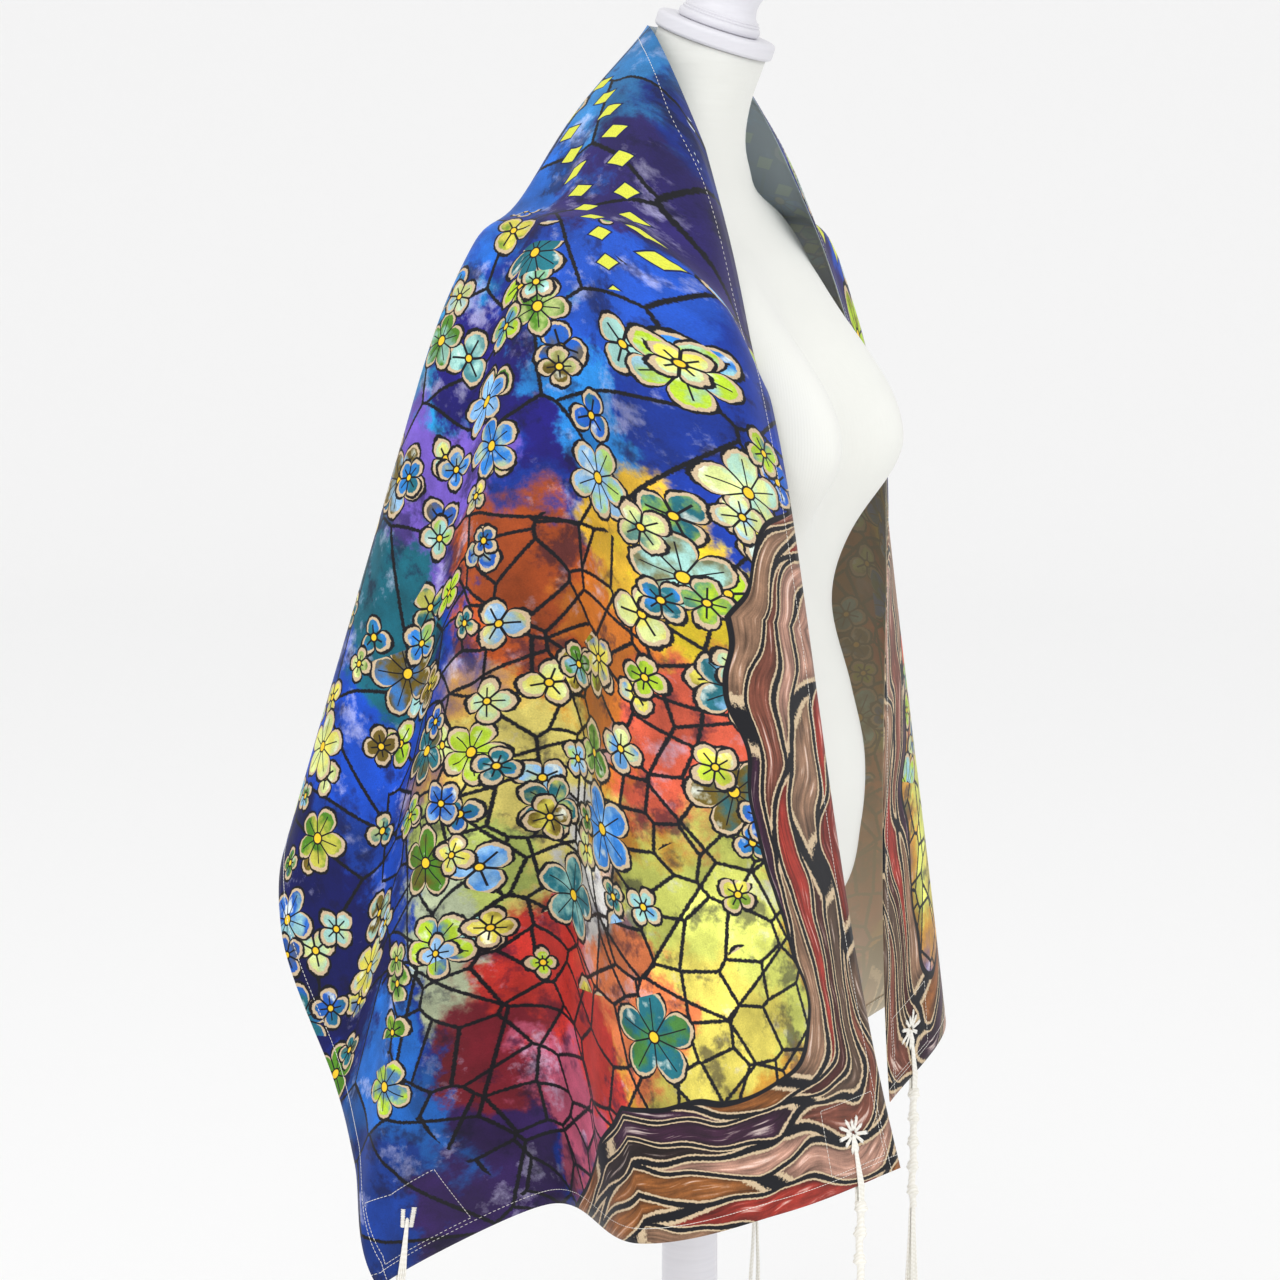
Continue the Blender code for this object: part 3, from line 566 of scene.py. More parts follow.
def make_hems(finish):
    """The hem's turned-in fold: four bands inside the cloth's edges, mitred by ending short."""
    left, right = -CLOTH_HALF + HEM_INSET, CLOTH_HALF - HEM_INSET
    inner = HEM - HEM_INSET
    runs = (
        (left, right, HEM_INSET, inner, GRID_ALONG + 1, BAND_COLUMNS),
        (left, right, CLOTH_WIDTH - inner, CLOTH_WIDTH - HEM_INSET, GRID_ALONG + 1, BAND_COLUMNS),
        (left, -CLOTH_HALF + inner, HEM, CLOTH_WIDTH - HEM, BAND_COLUMNS, GRID_ACROSS + 1),
        (CLOTH_HALF - inner, right, HEM, CLOTH_WIDTH - HEM, BAND_COLUMNS, GRID_ACROSS + 1),
    )
    all_points, all_faces, all_uv, first = [], [], [], 0
    for low, high, near, far, rows, columns in runs:
        alongs, acrosses = np.linspace(low, high, rows), np.linspace(near, far, columns)
        along, across = np.meshgrid(alongs, acrosses, indexing="ij")
        points, faces, uv = band_on_cloth(along, across, CLOTH_THICK + FOLD_GAP, LAYER_THICK)
        all_points.append(points)
        all_faces.append(faces + first)
        all_uv.append(uv)
        first += len(points)
    return add_piece(
        "hem_fold", np.vstack(all_points), np.vstack(all_faces), (finish,),
        np.vstack(all_uv),
    )


def flat_path(corners, pitch):
    """Points every pitch along a flat polyline, and the direction of the run at each."""
    corners = np.asarray(corners, float)
    run = run_along(corners)
    at = np.arange(pitch / 2, run[-1], pitch)
    piece = np.clip(np.searchsorted(run, at) - 1, 0, len(corners) - 2)
    way = np.diff(corners, axis=0)
    way = way / np.linalg.norm(way, axis=1, keepdims=True)
    return corners[piece] + way[piece] * (at - run[piece])[:, None], way[piece]


def patch_outline(corner):
    """The flat corners of a patch's seam, just inside its edge, as one closed line."""
    low = HEM + SEAM_IN
    alongs = (corner.side * (CLOTH_HALF - low), corner.side * (CLOTH_HALF - HEM - PATCH_ALONG + SEAM_IN))
    if corner.on_outer_edge:
        acrosses = (CLOTH_WIDTH - low, CLOTH_WIDTH - HEM - PATCH_ACROSS + SEAM_IN)
    else:
        acrosses = (low, HEM + PATCH_ACROSS - SEAM_IN)
    return [(alongs[0], acrosses[0]), (alongs[1], acrosses[0]), (alongs[1], acrosses[1]),
            (alongs[0], acrosses[1]), (alongs[0], acrosses[0])]


STITCH_PITCH = 0.0031
STITCH_LENGTH = 0.0025
STITCH_WIDE = 0.00024
STITCH_HIGH = 0.00018
STITCH_IN = 0.011
STITCH_STEP = 0.0006
# A stitch's rings, as (share of its length from its middle, share of its thickness).
STITCH_RINGS = ((-0.5, 0.15), (-0.38, 0.8), (0.0, 1.0), (0.38, 0.8), (0.5, 0.15))
STITCH_SIDES = 6


def make_stitches(finish):
    """Running stitches: small six-sided spindles on both faces, along the hems and the patches."""
    edge_along, edge_across = CLOTH_HALF - STITCH_IN, CLOTH_WIDTH - STITCH_IN
    lines = [
        [(-CLOTH_HALF, STITCH_IN), (CLOTH_HALF, STITCH_IN)],
        [(-CLOTH_HALF, edge_across), (CLOTH_HALF, edge_across)],
        [(-edge_along, 0.0), (-edge_along, CLOTH_WIDTH)],
        [(edge_along, 0.0), (edge_along, CLOTH_WIDTH)],
    ] + [patch_outline(corner) for corner in CORNERS]
    found = [flat_path(line, STITCH_PITCH) for line in lines]
    centres = np.vstack([centre for centre, _ in found])
    ways = np.vstack([way for _, way in found])
    middle, normal = worn(centres[:, 0], centres[:, 1])
    ahead = centres + ways * STITCH_STEP
    ahead[:, 0] = np.clip(ahead[:, 0], -CLOTH_HALF, CLOTH_HALF)
    ahead[:, 1] = np.clip(ahead[:, 1], 0.0, CLOTH_WIDTH)
    forward = worn(ahead[:, 0], ahead[:, 1])[0] - middle
    forward /= np.linalg.norm(forward, axis=-1, keepdims=True) + 1e-12
    sideways = np.cross(normal, forward)
    angles = np.arange(STITCH_SIDES) * 2 * math.pi / STITCH_SIDES
    ends, swell = np.array(STITCH_RINGS).T
    ends = ends * STITCH_LENGTH
    level, upright = np.cos(angles) * swell[:, None], np.sin(angles) * swell[:, None]
    all_points = []
    for lift in (STITCH_HIGH * 0.5, -CLOTH_THICK - PATCH_GAP):
        base = middle + normal * lift
        rings = base[:, None, None] + forward[:, None, None] * ends[:, None, None]
        rings = rings + sideways[:, None, None] * (level * STITCH_WIDE)[..., None]
        rings = rings + normal[:, None, None] * (upright * STITCH_HIGH)[..., None]
        all_points.append(rings.reshape(-1, 3))
    count = 2 * len(centres)
    one = grid_faces(len(STITCH_RINGS), STITCH_SIDES, around=True)
    firsts = np.arange(count) * len(STITCH_RINGS) * STITCH_SIDES
    faces = (one[None] + firsts[:, None, None]).reshape(-1, 4)
    return add_piece("stitches", np.vstack(all_points), faces, (finish,))


def make_patch(corner, finish):
    """A corner patch on the inside: the cloth's own flat rectangle there, moved in past its wall."""
    alongs = corner.side * (CLOTH_HALF - np.linspace(HEM, HEM + PATCH_ALONG, PATCH_ROWS))
    acrosses = np.linspace(HEM, HEM + PATCH_ACROSS, PATCH_COLUMNS)
    acrosses = CLOTH_WIDTH - acrosses if corner.on_outer_edge else acrosses
    along, across = np.meshgrid(np.sort(alongs), np.sort(acrosses), indexing="ij")
    points, faces, uv = band_on_cloth(along, across, CLOTH_THICK + PATCH_GAP, LAYER_THICK)
    patch = add_piece("patch_cloth_" + corner.name, points, faces, (finish,), uv)
    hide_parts("patch_" + corner.name)
    return patch


def hole_place(corner):
    """The flat point of a corner's eyelet, and the flat direction that hangs straight down there."""
    from_hem, from_edge = HEM + PATCH_ALONG / 2, HEM + PATCH_ACROSS / 2
    hole = np.array([
        corner.side * (CLOTH_HALF - from_hem),
        CLOTH_WIDTH - from_edge if corner.on_outer_edge else from_edge,
    ])
    step = PATCH_ALONG / 4
    here = worn(hole[:1], hole[1:])[0][0]
    ahead = (worn(hole[:1] + step, hole[1:])[0][0] - here) / step
    aside = (worn(hole[:1], hole[1:] + step)[0][0] - here) / step
    measure = np.array([[ahead @ ahead, ahead @ aside], [ahead @ aside, aside @ aside]])
    down = np.linalg.solve(measure, -np.array([ahead[2], aside[2]]))
    return hole, down / np.linalg.norm(down[0] * ahead + down[1] * aside)


EYELET_LIFT = 0.0004
# Spokes of the embroidered star, as (turn in degrees, start and end from the hole's middle in mm).
STAR_SPOKES = (
    (8, 2.0, 18.5), (38, 2.5, 15.0), (75, 2.0, 17.0), (104, 2.5, 16.0), (140, 2.0, 15.5),
    (172, 2.5, 19.5), (205, 2.0, 14.5), (240, 2.5, 16.5), (268, 2.0, 12.0), (300, 2.5, 15.0),
    (332, 2.0, 18.0), (355, 1.0, 9.0),
)
# Bars of the buttonhole, as (side in mm, half length in mm, lean in mm).
BUTTONHOLE_BARS = ((-3.9, 8.0, 0.6), (3.6, 7.4, -0.5))
# The eyelets' thread: its radius, how high a stroke arches, and the step by which strokes overlap.
EYELET_THREAD = 0.00046
STROKE_ARCH = 0.0003
STROKE_STEP = 0.00012


def make_eyelet(corner, finish):
    """The worked hole: a star of thread spokes at a front corner, two bars of stitches at a back one."""
    hole, down = hole_place(corner)
    side = np.array([-down[1], down[0]])
    strokes = []
    if corner.on_outer_edge:
        for x, half, lean in BUTTONHOLE_BARS:
            for k in np.linspace(-half, half, 19):
                wide = 2.0 + 0.25 * math.sin(3.1 * k)
                middle = x + lean * k / half
                strokes.append(((middle - wide, k + 0.35), (middle + wide, k - 0.35)))
    else:
        for turn, start, end in STAR_SPOKES:
            way = np.array([math.cos(math.radians(turn)), math.sin(math.radians(turn))])
            square = np.array([-way[1], way[0]])
            for k in (-1.5, -0.5, 0.5, 1.5):
                reach = end - 0.8 * abs(k) + 0.5 * math.sin(5 * k + turn)
                strokes.append((way * start + square * k * 0.55, way * reach + square * k * 0.75))
            strokes.append((way * end * 0.72 - square * 2.0, way * end * 0.78 + square * 2.0))
    ends = np.array(strokes) / 1000
    share = np.linspace(0, 1, 6)[:, None]
    flat = ends[:, None, 0] * (1 - share) + ends[:, None, 1] * share
    flat = hole + flat[..., :1] * side + flat[..., 1:] * down
    points, normal = worn(flat[..., 0], flat[..., 1])
    arch = (np.sin(np.linspace(0, math.pi, 6)) * STROKE_ARCH)[None, :, None]
    order = (np.arange(len(ends)) % 3 * STROKE_STEP)[:, None, None]
    paths = points + normal * (EYELET_LIFT + arch + order)
    made, faces, uv = tubes(paths, EYELET_THREAD, 6)
    return add_piece("eyelet_" + corner.name, made, faces, (finish,), uv)


KNOTS = 5
KNOT_PITCH = 0.022
WINDING_RADIUS = 0.0036
STRAP_BELOW_HEM = 0.006
HEAD_DROP = 0.006
CAD_WALL = 0.0016
THREAD_RADIUS = 0.00085
THREAD_LIFT = 0.0010
THREAD_SIDES = 8
STRAND_TRIM = 0.03
HEAD_RINGS = 260
HEAD_SIDES = 28
# The turns of a winding and the slanting turns of a knot, along the head.
WINDING_PITCH = 0.0017
KNOT_SLANT = 0.0075
# Radius of the head over one knot and its windings, as (share of the pitch, radius in mm).
HEAD_PROFILE = (
    (0.0, 2.9), (0.12, 4.6), (0.22, 4.4), (0.32, 5.4), (0.44, 3.7), (0.60, 2.9), (0.80, 3.1), (1.0, 2.9),
)


def make_tassel(corner, finish):
    """One tassel: four threads doubled through the eyelet, a knotted and wound head, free strands."""
    hole, down = hole_place(corner)
    from_hem = HEM + PATCH_ALONG / 2
    share = np.linspace(0.0, 1.0, 14)
    flat = hole + share[:, None] * down * from_hem / abs(down[0])
    points, normal = worn(np.clip(flat[:, 0], -CLOTH_HALF, CLOTH_HALF), flat[:, 1])
    beyond = points[-1] - points[-2]
    below = points[-1] + beyond / np.linalg.norm(beyond) * STRAP_BELOW_HEM
    out = normal[-1] * np.array([1.0, 1.0, 0.0])
    out = out / np.linalg.norm(out)
    sideways = np.cross(out, [0.0, 0.0, 1.0])
    top = below - out * CAD_WALL / 2 - np.array([0.0, 0.0, HEAD_DROP])
    sway = np.array([corner.sway_x, corner.sway_y, 0.0])
    head_length = KNOTS * KNOT_PITCH
    whole = head_length + corner.length

    def centre(depth):
        """The tassel's middle line at depths below its top."""
        depth = np.asarray(depth, float)[..., None]
        return top + sway * (depth / whole) ** 2 - np.array([0.0, 0.0, 1.0]) * depth

    threads = []
    for lift in (THREAD_LIFT, -CLOTH_THICK - 2 * PATCH_GAP - THREAD_LIFT):
        for k in (-1.5, -0.5, 0.5, 1.5):
            fan = 0.0004 + 0.0014 * share**1.3
            course = points + normal * lift + sideways * (k * fan)[:, None]
            course[0] = points[0] + normal[0] * (lift * 0.35) + sideways * k * 0.0003
            end = centre(np.array([-0.003, 0.004])) + out * lift * 0.9 + sideways * k * 0.0016
            control = np.vstack([course, end])
            run = run_along(control)
            threads.append(hermite(run, control, np.linspace(0, run[-1], 40)))
    strap_points, strap_faces, strap_uv = tubes(threads, THREAD_RADIUS, THREAD_SIDES)

    levels = np.linspace(0.0, head_length, HEAD_RINGS)
    angles = np.arange(HEAD_SIDES) * 2 * math.pi / HEAD_SIDES
    profile = np.array(HEAD_PROFILE)
    phase = (levels / KNOT_PITCH) % 1.0
    radius = hermite(profile[:, 0], profile[:, 1:], phase)[:, 0] / 1000
    knot = np.floor(levels / KNOT_PITCH)
    tied = np.exp(-(((phase - 0.27) / 0.16) ** 2))
    wraps = np.abs(np.cos(math.pi * levels[:, None] / WINDING_PITCH + angles / 2))
    slant = np.abs(np.cos(1.5 * angles + math.pi * levels[:, None] / KNOT_SLANT + knot[:, None] * 2.1))
    lump = 1 + (0.05 + 0.10 * tied[:, None]) * np.cos(angles - knot[:, None] * 2.4 - corner.side)
    turns = 0.0009 * tied[:, None] * (slant - 0.6) + 0.00022 * (1 - tied[:, None]) * (wraps - 0.6)
    radius = radius[:, None] * lump + turns
    closing = np.clip(np.minimum(levels, head_length - levels) / 0.0015, 0.0, 1.0)[:, None]
    radius = radius * np.sqrt(0.02 + 0.98 * closing)
    wander = sideways * (0.0007 * np.sin(levels / 0.0061 + corner.side))[:, None]
    wander = wander + out * (0.0006 * np.sin(levels / 0.0083 + 1.0))[:, None]
    ring = sideways * np.cos(angles)[:, None] + out * np.sin(angles)[:, None]
    head = (centre(levels) + wander)[:, None] + ring[None] * radius[..., None]
    head_faces = grid_faces(HEAD_RINGS, HEAD_SIDES, around=True)
    last = (HEAD_RINGS - 1) * HEAD_SIDES
    caps = np.array([[27, 18, 9, 0], [last, last + 9, last + 18, last + 27]])
    head_uv = np.stack(np.broadcast_arrays(levels[:, None], angles / (2 * math.pi)), -1).reshape(-1, 2)

    free = []
    fall = np.linspace(0.0, 1.0, 44)
    for i in range(4):
        for j in range(2):
            a, b = (i - 1.5) / 2, (j - 0.5)
            start = np.array(
                [a * math.sqrt(1 - b * b / 2), b * math.sqrt(1 - a * a / 2)]
            ) * WINDING_RADIUS
            trim = 1 - STRAND_TRIM * ((3 * i + 5 * j) % 4)
            depth = head_length - 0.003 + (corner.length + 0.003) * fall * trim
            turn = 2.1 * i + 3.3 * j
            wave = 0.0016 * fall[:, None] * np.stack(
                [np.sin(9 * fall + turn), np.cos(7 * fall + turn)], -1
            )
            offset = start * 0.75 + start / WINDING_RADIUS * corner.spread * fall[:, None] ** 1.5 + wave
            free.append(centre(depth) + offset[:, :1] * sideways + offset[:, 1:] * out)
    free_points, free_faces, free_uv = tubes(free, THREAD_RADIUS, THREAD_SIDES)
    first, second = len(strap_points), len(strap_points) + head.shape[0] * head.shape[1]
    piece = add_piece(
        "threads_" + corner.name,
        np.vstack([strap_points, head.reshape(-1, 3), free_points]),
        np.vstack([strap_faces, head_faces + first, caps + first, free_faces + second]),
        (finish,),
        np.vstack([strap_uv, head_uv, free_uv]),
    )
    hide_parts("tassel_" + corner.name)
    return piece


def make_form(finish):
    """The jersey-covered body on a fine grid of levels and angles."""
    levels = np.concatenate([[0.700, 0.7005, 0.7012], np.linspace(0.702, 1.452, FORM_RINGS)])
    angles = np.arange(FORM_SIDES) * 2 * math.pi / FORM_SIDES
    points, faces = closed_surface(form_surface(levels, angles))
    cover = add_piece("jersey_cover", points, faces, (finish,))
    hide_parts("form_body")
    return cover


# Turned profiles, as (height, radius) in metres from the bottom up.
CAP_PROFILE = (
    (0.0000, 0.0470), (0.0004, 0.0484), (0.0012, 0.0494), (0.0024, 0.0500), (0.0100, 0.0500),
    (0.0116, 0.0497), (0.0128, 0.0490), (0.0134, 0.0478), (0.0135, 0.0460),
)
KNOB_PROFILE = (
    (0.0000, 0.0325), (0.0008, 0.0336), (0.0022, 0.0343), (0.0040, 0.0345), (0.0058, 0.0343),
    (0.0068, 0.0336), (0.0072, 0.0326), (0.0076, 0.0322), (0.0080, 0.0326), (0.0088, 0.0328),
    (0.0094, 0.0322), (0.0097, 0.0312), (0.0100, 0.0308), (0.0104, 0.0312), (0.0112, 0.0312),
    (0.0118, 0.0304), (0.0122, 0.0294), (0.0150, 0.0276), (0.0185, 0.0265), (0.0220, 0.0262),
    (0.0270, 0.0269), (0.0320, 0.0285), (0.0380, 0.0316), (0.0440, 0.0345), (0.0500, 0.0356),
    (0.0560, 0.0355), (0.0620, 0.0338), (0.0680, 0.0300), (0.0720, 0.0255), (0.0750, 0.0200),
    (0.0770, 0.0130), (0.0780, 0.0060),
)
POLE_PROFILE = (
    (0.0263, 0.0405), (0.0270, 0.0418), (0.0300, 0.0428), (0.0330, 0.0430), (0.0365, 0.0420),
    (0.0385, 0.0402), (0.0400, 0.0385), (0.0410, 0.0384), (0.0430, 0.0360), (0.0480, 0.0322),
    (0.0560, 0.0300), (0.0700, 0.0285), (0.1300, 0.0268), (0.2000, 0.0255), (0.4400, 0.0240),
    (0.6400, 0.0225), (0.6500, 0.0229), (0.6600, 0.0241), (0.6650, 0.0268), (0.6680, 0.0310),
    (0.6700, 0.0338), (0.6740, 0.0354), (0.6800, 0.0360), (0.6980, 0.0360), (0.6997, 0.0350),
)
BASE_PROFILE = (
    (0.0000, 0.1860), (0.0010, 0.1880), (0.0040, 0.1898), (0.0090, 0.1900), (0.0140, 0.1898),
    (0.0175, 0.1885), (0.0200, 0.1858), (0.0212, 0.1830), (0.0218, 0.1815), (0.0226, 0.1800),
    (0.0240, 0.1760), (0.0252, 0.1690), (0.0260, 0.1600),
)


def make_turned(finish):
    """The white turned pieces: neck cap and knob, tilted as on the solid, then pole and base."""
    up = np.array([0.0, -math.sin(CAP_TILT), math.cos(CAP_TILT)])
    neck = form_surface(np.array([1.452]), np.arange(36) * 2 * math.pi / 36)[0]
    seat = neck.mean(axis=0) + up * CAP_SEAT
    on_cap = seat + up * (CAP_THICK + STAND_GAP)
    for name, node, profile, steps, pivot in (
        ("cap_disc", "neck_cap", CAP_PROFILE, 24, seat),
        ("turned_knob", "cap_knob", KNOB_PROFILE, 60, on_cap),
        ("turned_pole", "stand_pole", POLE_PROFILE, 60, None),
        ("turned_base", "stand_base", BASE_PROFILE, 30, None),
    ):
        rings = turned(profile, steps)
        if pivot is not None:
            rings = tilted(rings, pivot)
        points, faces = closed_surface(rings)
        piece = add_piece(name, points, faces, (finish,))
        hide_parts(node)


# Sockets of the colour mixer: the share, the colour under, and the colour over it.
SHARE, UNDER, OVER = 0, 6, 7
LINE_BLACK = "#191a24"
LINE_TAN = "#c9b79c"


class Wash(NamedTuple):
    """One soft patch of dye: its middle on the flat cloth, its reach both ways, and its colour."""

    along: float
    across: float
    reach_along: float
    reach_across: float
    colour: str


GROUND_BLUE = "#1a4aa8"
WASHES = (
    Wash(0.80, 0.22, 0.25, 0.21, "#d6a648"),
    Wash(0.00, 0.20, 0.30, 0.40, "#1a3d96"),
    Wash(0.11, 0.05, 0.10, 0.09, "#4088bc"),
    Wash(0.26, 0.05, 0.09, 0.06, "#3d3178"),
    Wash(0.17, 0.15, 0.10, 0.08, "#2a74c4"),
    Wash(0.30, 0.25, 0.08, 0.08, "#2f9ccc"),
    Wash(0.36, 0.10, 0.07, 0.06, "#2b62c0"),
    Wash(0.39, 0.19, 0.10, 0.06, "#2c2384"),
    Wash(0.41, 0.29, 0.09, 0.06, "#7d66ba"),
    Wash(0.44, 0.14, 0.08, 0.05, "#3792d4"),
    Wash(0.46, 0.03, 0.10, 0.06, "#1b48a6"),
    Wash(0.48, 0.36, 0.10, 0.06, "#1c7080"),
    Wash(0.53, 0.13, 0.07, 0.06, "#e3bd46"),
    Wash(0.60, 0.10, 0.06, 0.05, "#e6cf3a"),
    Wash(0.57, 0.24, 0.10, 0.06, "#b9622e"),
    Wash(0.64, 0.19, 0.09, 0.06, "#d08434"),
    Wash(0.75, 0.30, 0.13, 0.07, "#d6ca7c"),
    Wash(0.73, 0.36, 0.07, 0.05, "#bcc878"),
    Wash(0.69, 0.13, 0.09, 0.06, "#e4765a"),
    Wash(0.79, 0.27, 0.07, 0.05, "#cbcac8"),
    Wash(0.82, 0.14, 0.12, 0.08, "#d8dc7c"),
    Wash(0.90, 0.18, 0.08, 0.07, "#dcd070"),
    Wash(0.85, 0.24, 0.07, 0.05, "#e08c5c"),
    Wash(0.80, 0.40, 0.08, 0.05, "#b9c2a6"),
    Wash(0.87, 0.33, 0.08, 0.06, "#c8473e"),
    Wash(0.92, 0.40, 0.08, 0.06, "#862c3c"),
    Wash(0.96, 0.36, 0.06, 0.05, "#b8647c"),
    Wash(0.98, 0.46, 0.08, 0.06, "#452a6c"),
    Wash(0.60, 0.45, 0.16, 0.07, "#1d58ba"),
    Wash(0.70, 0.53, 0.14, 0.07, "#151f6c"),
    Wash(0.88, 0.50, 0.10, 0.06, "#2870b8"),
    Wash(1.00, 0.54, 0.09, 0.05, "#1c4c9c"),
)


class Sowing(NamedTuple):
    """One sowing of blossoms: spacing, petals, radius, notch depth, shift, and how many places bear one."""

    spacing: float
    petals: int
    radius: float
    notch: float
    shift: float
    bearing: float


SOWINGS = (
    Sowing(0.060, 3, 0.021, 0.44, 3.71, 0.85),
    Sowing(0.088, 5, 0.032, 0.52, 7.13, 0.90),
    Sowing(0.056, 4, 0.018, 0.55, 11.37, 0.62),
)
PETAL_COLOURS = (
    "#3f8fd6", "#a8cfc8", "#b5cf3f", "#2c7a86", "#cfd79a", "#5e8f2f", "#dcd468", "#2f6fc0", "#7a6a2a",
    "#9cc4e6",
)
BAND_COLOURS = (
    "#5a2e2a", "#a0826c", "#8e3c30", "#3a2c2c", "#8c5a4a", "#a84438", "#9c6a3c", "#6e5a4c", "#4a2a44",
    "#b89484",
)
# The border, in metres on the flat cloth: how deep it is, how far it sways, how much less on the left.
BORDER_DEEP = 0.102
BORDER_SWAY = 0.16
LEFT_SHALLOWER = 0.028
# Its slivers: their size, and how far the depth slants their ends.
SLIVER_WIDE = 0.033
SLIVER_LONG = 0.130
SLIVER_SLANT = 3.6
LOZENGE_PITCH = 0.024
LOZENGE_ROWS = (0.048, 0.080)


def even_ramp(ramp, colours):
    """Sets a colour ramp to even steps through a row of colours."""
    ramp.interpolation = "CONSTANT"
    while len(ramp.elements) < len(colours):
        ramp.elements.new(1.0)
    for k, colour in enumerate(colours):
        ramp.elements[k].position = k / len(colours)
        ramp.elements[k].color = linear(colour)


def painted(tree, colour, coats):
    """Lays flat paints over a colour in turn.

    Each coat is (measure, where it begins, where it is full, its greatest share, paint).
    """
    for measure, none, full, most, paint in coats:
        share = add(
            tree, "MapRange", {"Value": measure, "From Min": none, "From Max": full, "To Max": most}
        )
        colour = add(tree, "Mix", {SHARE: share, UNDER: colour, OVER: linear(paint)}, data_type="RGBA")
    return colour


def ellipse_distance(tree, place, middle, reach):
    """How far a place is from the middle of an ellipse on the flat cloth, where 1 is its rim."""
    spans = (1 / reach[0], 1 / reach[1], 0.0)
    shift = (-middle[0] / reach[0], -middle[1] / reach[1], 0.0)
    away = add(tree, "VectorMath", {0: place, 1: spans, 2: shift}, operation="MULTIPLY_ADD")
    return add(tree, "VectorMath", {0: away}, operation="LENGTH")


def dyed_ground(tree, place):
    """Watercolour washes: each soft patch of dye is laid over those before it in the table."""
    bleed = add(tree, "TexNoise", {"Vector": place, "Scale": 10.0, "Detail": 6.0, "Roughness": 0.66})
    shift = add(
        tree, "VectorMath", {0: bleed.outputs["Color"], 1: (0.22, 0.22, 0.0), 2: (-0.11, -0.11, 0.0)},
        operation="MULTIPLY_ADD",
    )
    wet = add(tree, "VectorMath", {0: place, 1: shift}, operation="ADD")
    colour = linear(GROUND_BLUE)
    for wash in WASHES:
        middle, reach = (wash.along, wash.across), (wash.reach_along, wash.reach_across)
        far = ellipse_distance(tree, wet, middle, reach)
        near = add(
            tree, "MapRange", {"Value": far, "From Min": 1.06, "From Max": 0.76},
            interpolation_type="SMOOTHSTEP",
        )
        colour = add(
            tree, "Mix", {SHARE: near, UNDER: colour, OVER: linear(wash.colour)}, data_type="RGBA"
        )
    return colour


def leaded(tree, place, folded, colour):
    """Panes like leaded glass: each pane a little lighter or darker, with rough dark lines between.

    Large panes lie all over; small ones divide them where the cloth is yellow and red.
    """
    rough = add(tree, "TexNoise", {"Vector": place, "Scale": 520.0, "Detail": 3.0})
    edges = add(
        tree, "MapRange",
        {"Value": rough, "From Min": 0.3, "From Max": 0.7, "To Min": 0.0008, "To Max": 0.0020},
    )
    far = ellipse_distance(tree, folded, (0.84, 0.24), (0.34, 0.24))
    small_zone = add(tree, "Math", {0: far, 1: 1.0}, operation="LESS_THAN")
    for size, zone, least in ((0.085, None, 0.66), (0.036, small_zone, 0.84)):
        cells = {"Vector": place, "Scale": 1 / size}
        pane = add(tree, "TexVoronoi", cells, voronoi_dimensions="2D", feature="F1")
        tint = add(tree, "SeparateColor", {"Color": pane.outputs["Color"]})
        light = add(tree, "MapRange", {"Value": tint.outputs["Red"], "To Min": least, "To Max": 1.14})
        base = add(tree, "VectorMath", {0: colour, "Scale": light}, operation="SCALE")
        border = add(tree, "TexVoronoi", cells, voronoi_dimensions="2D", feature="DISTANCE_TO_EDGE")
        metres = add(tree, "Math", {0: border, 1: size}, operation="MULTIPLY")
        line = add(tree, "Math", {0: edges, 1: metres}, operation="SUBTRACT")
        share = add(tree, "MapRange", {"Value": line, "From Min": -0.0004, "From Max": 0.0003})
        if zone is not None:
            share = add(tree, "Math", {0: share, 1: zone}, operation="MULTIPLY")
            base = add(tree, "Mix", {SHARE: zone, UNDER: colour, OVER: base}, data_type="RGBA")
        colour = add(tree, "Mix", {SHARE: share, UNDER: base, OVER: linear(LINE_BLACK)}, data_type="RGBA")
    return colour


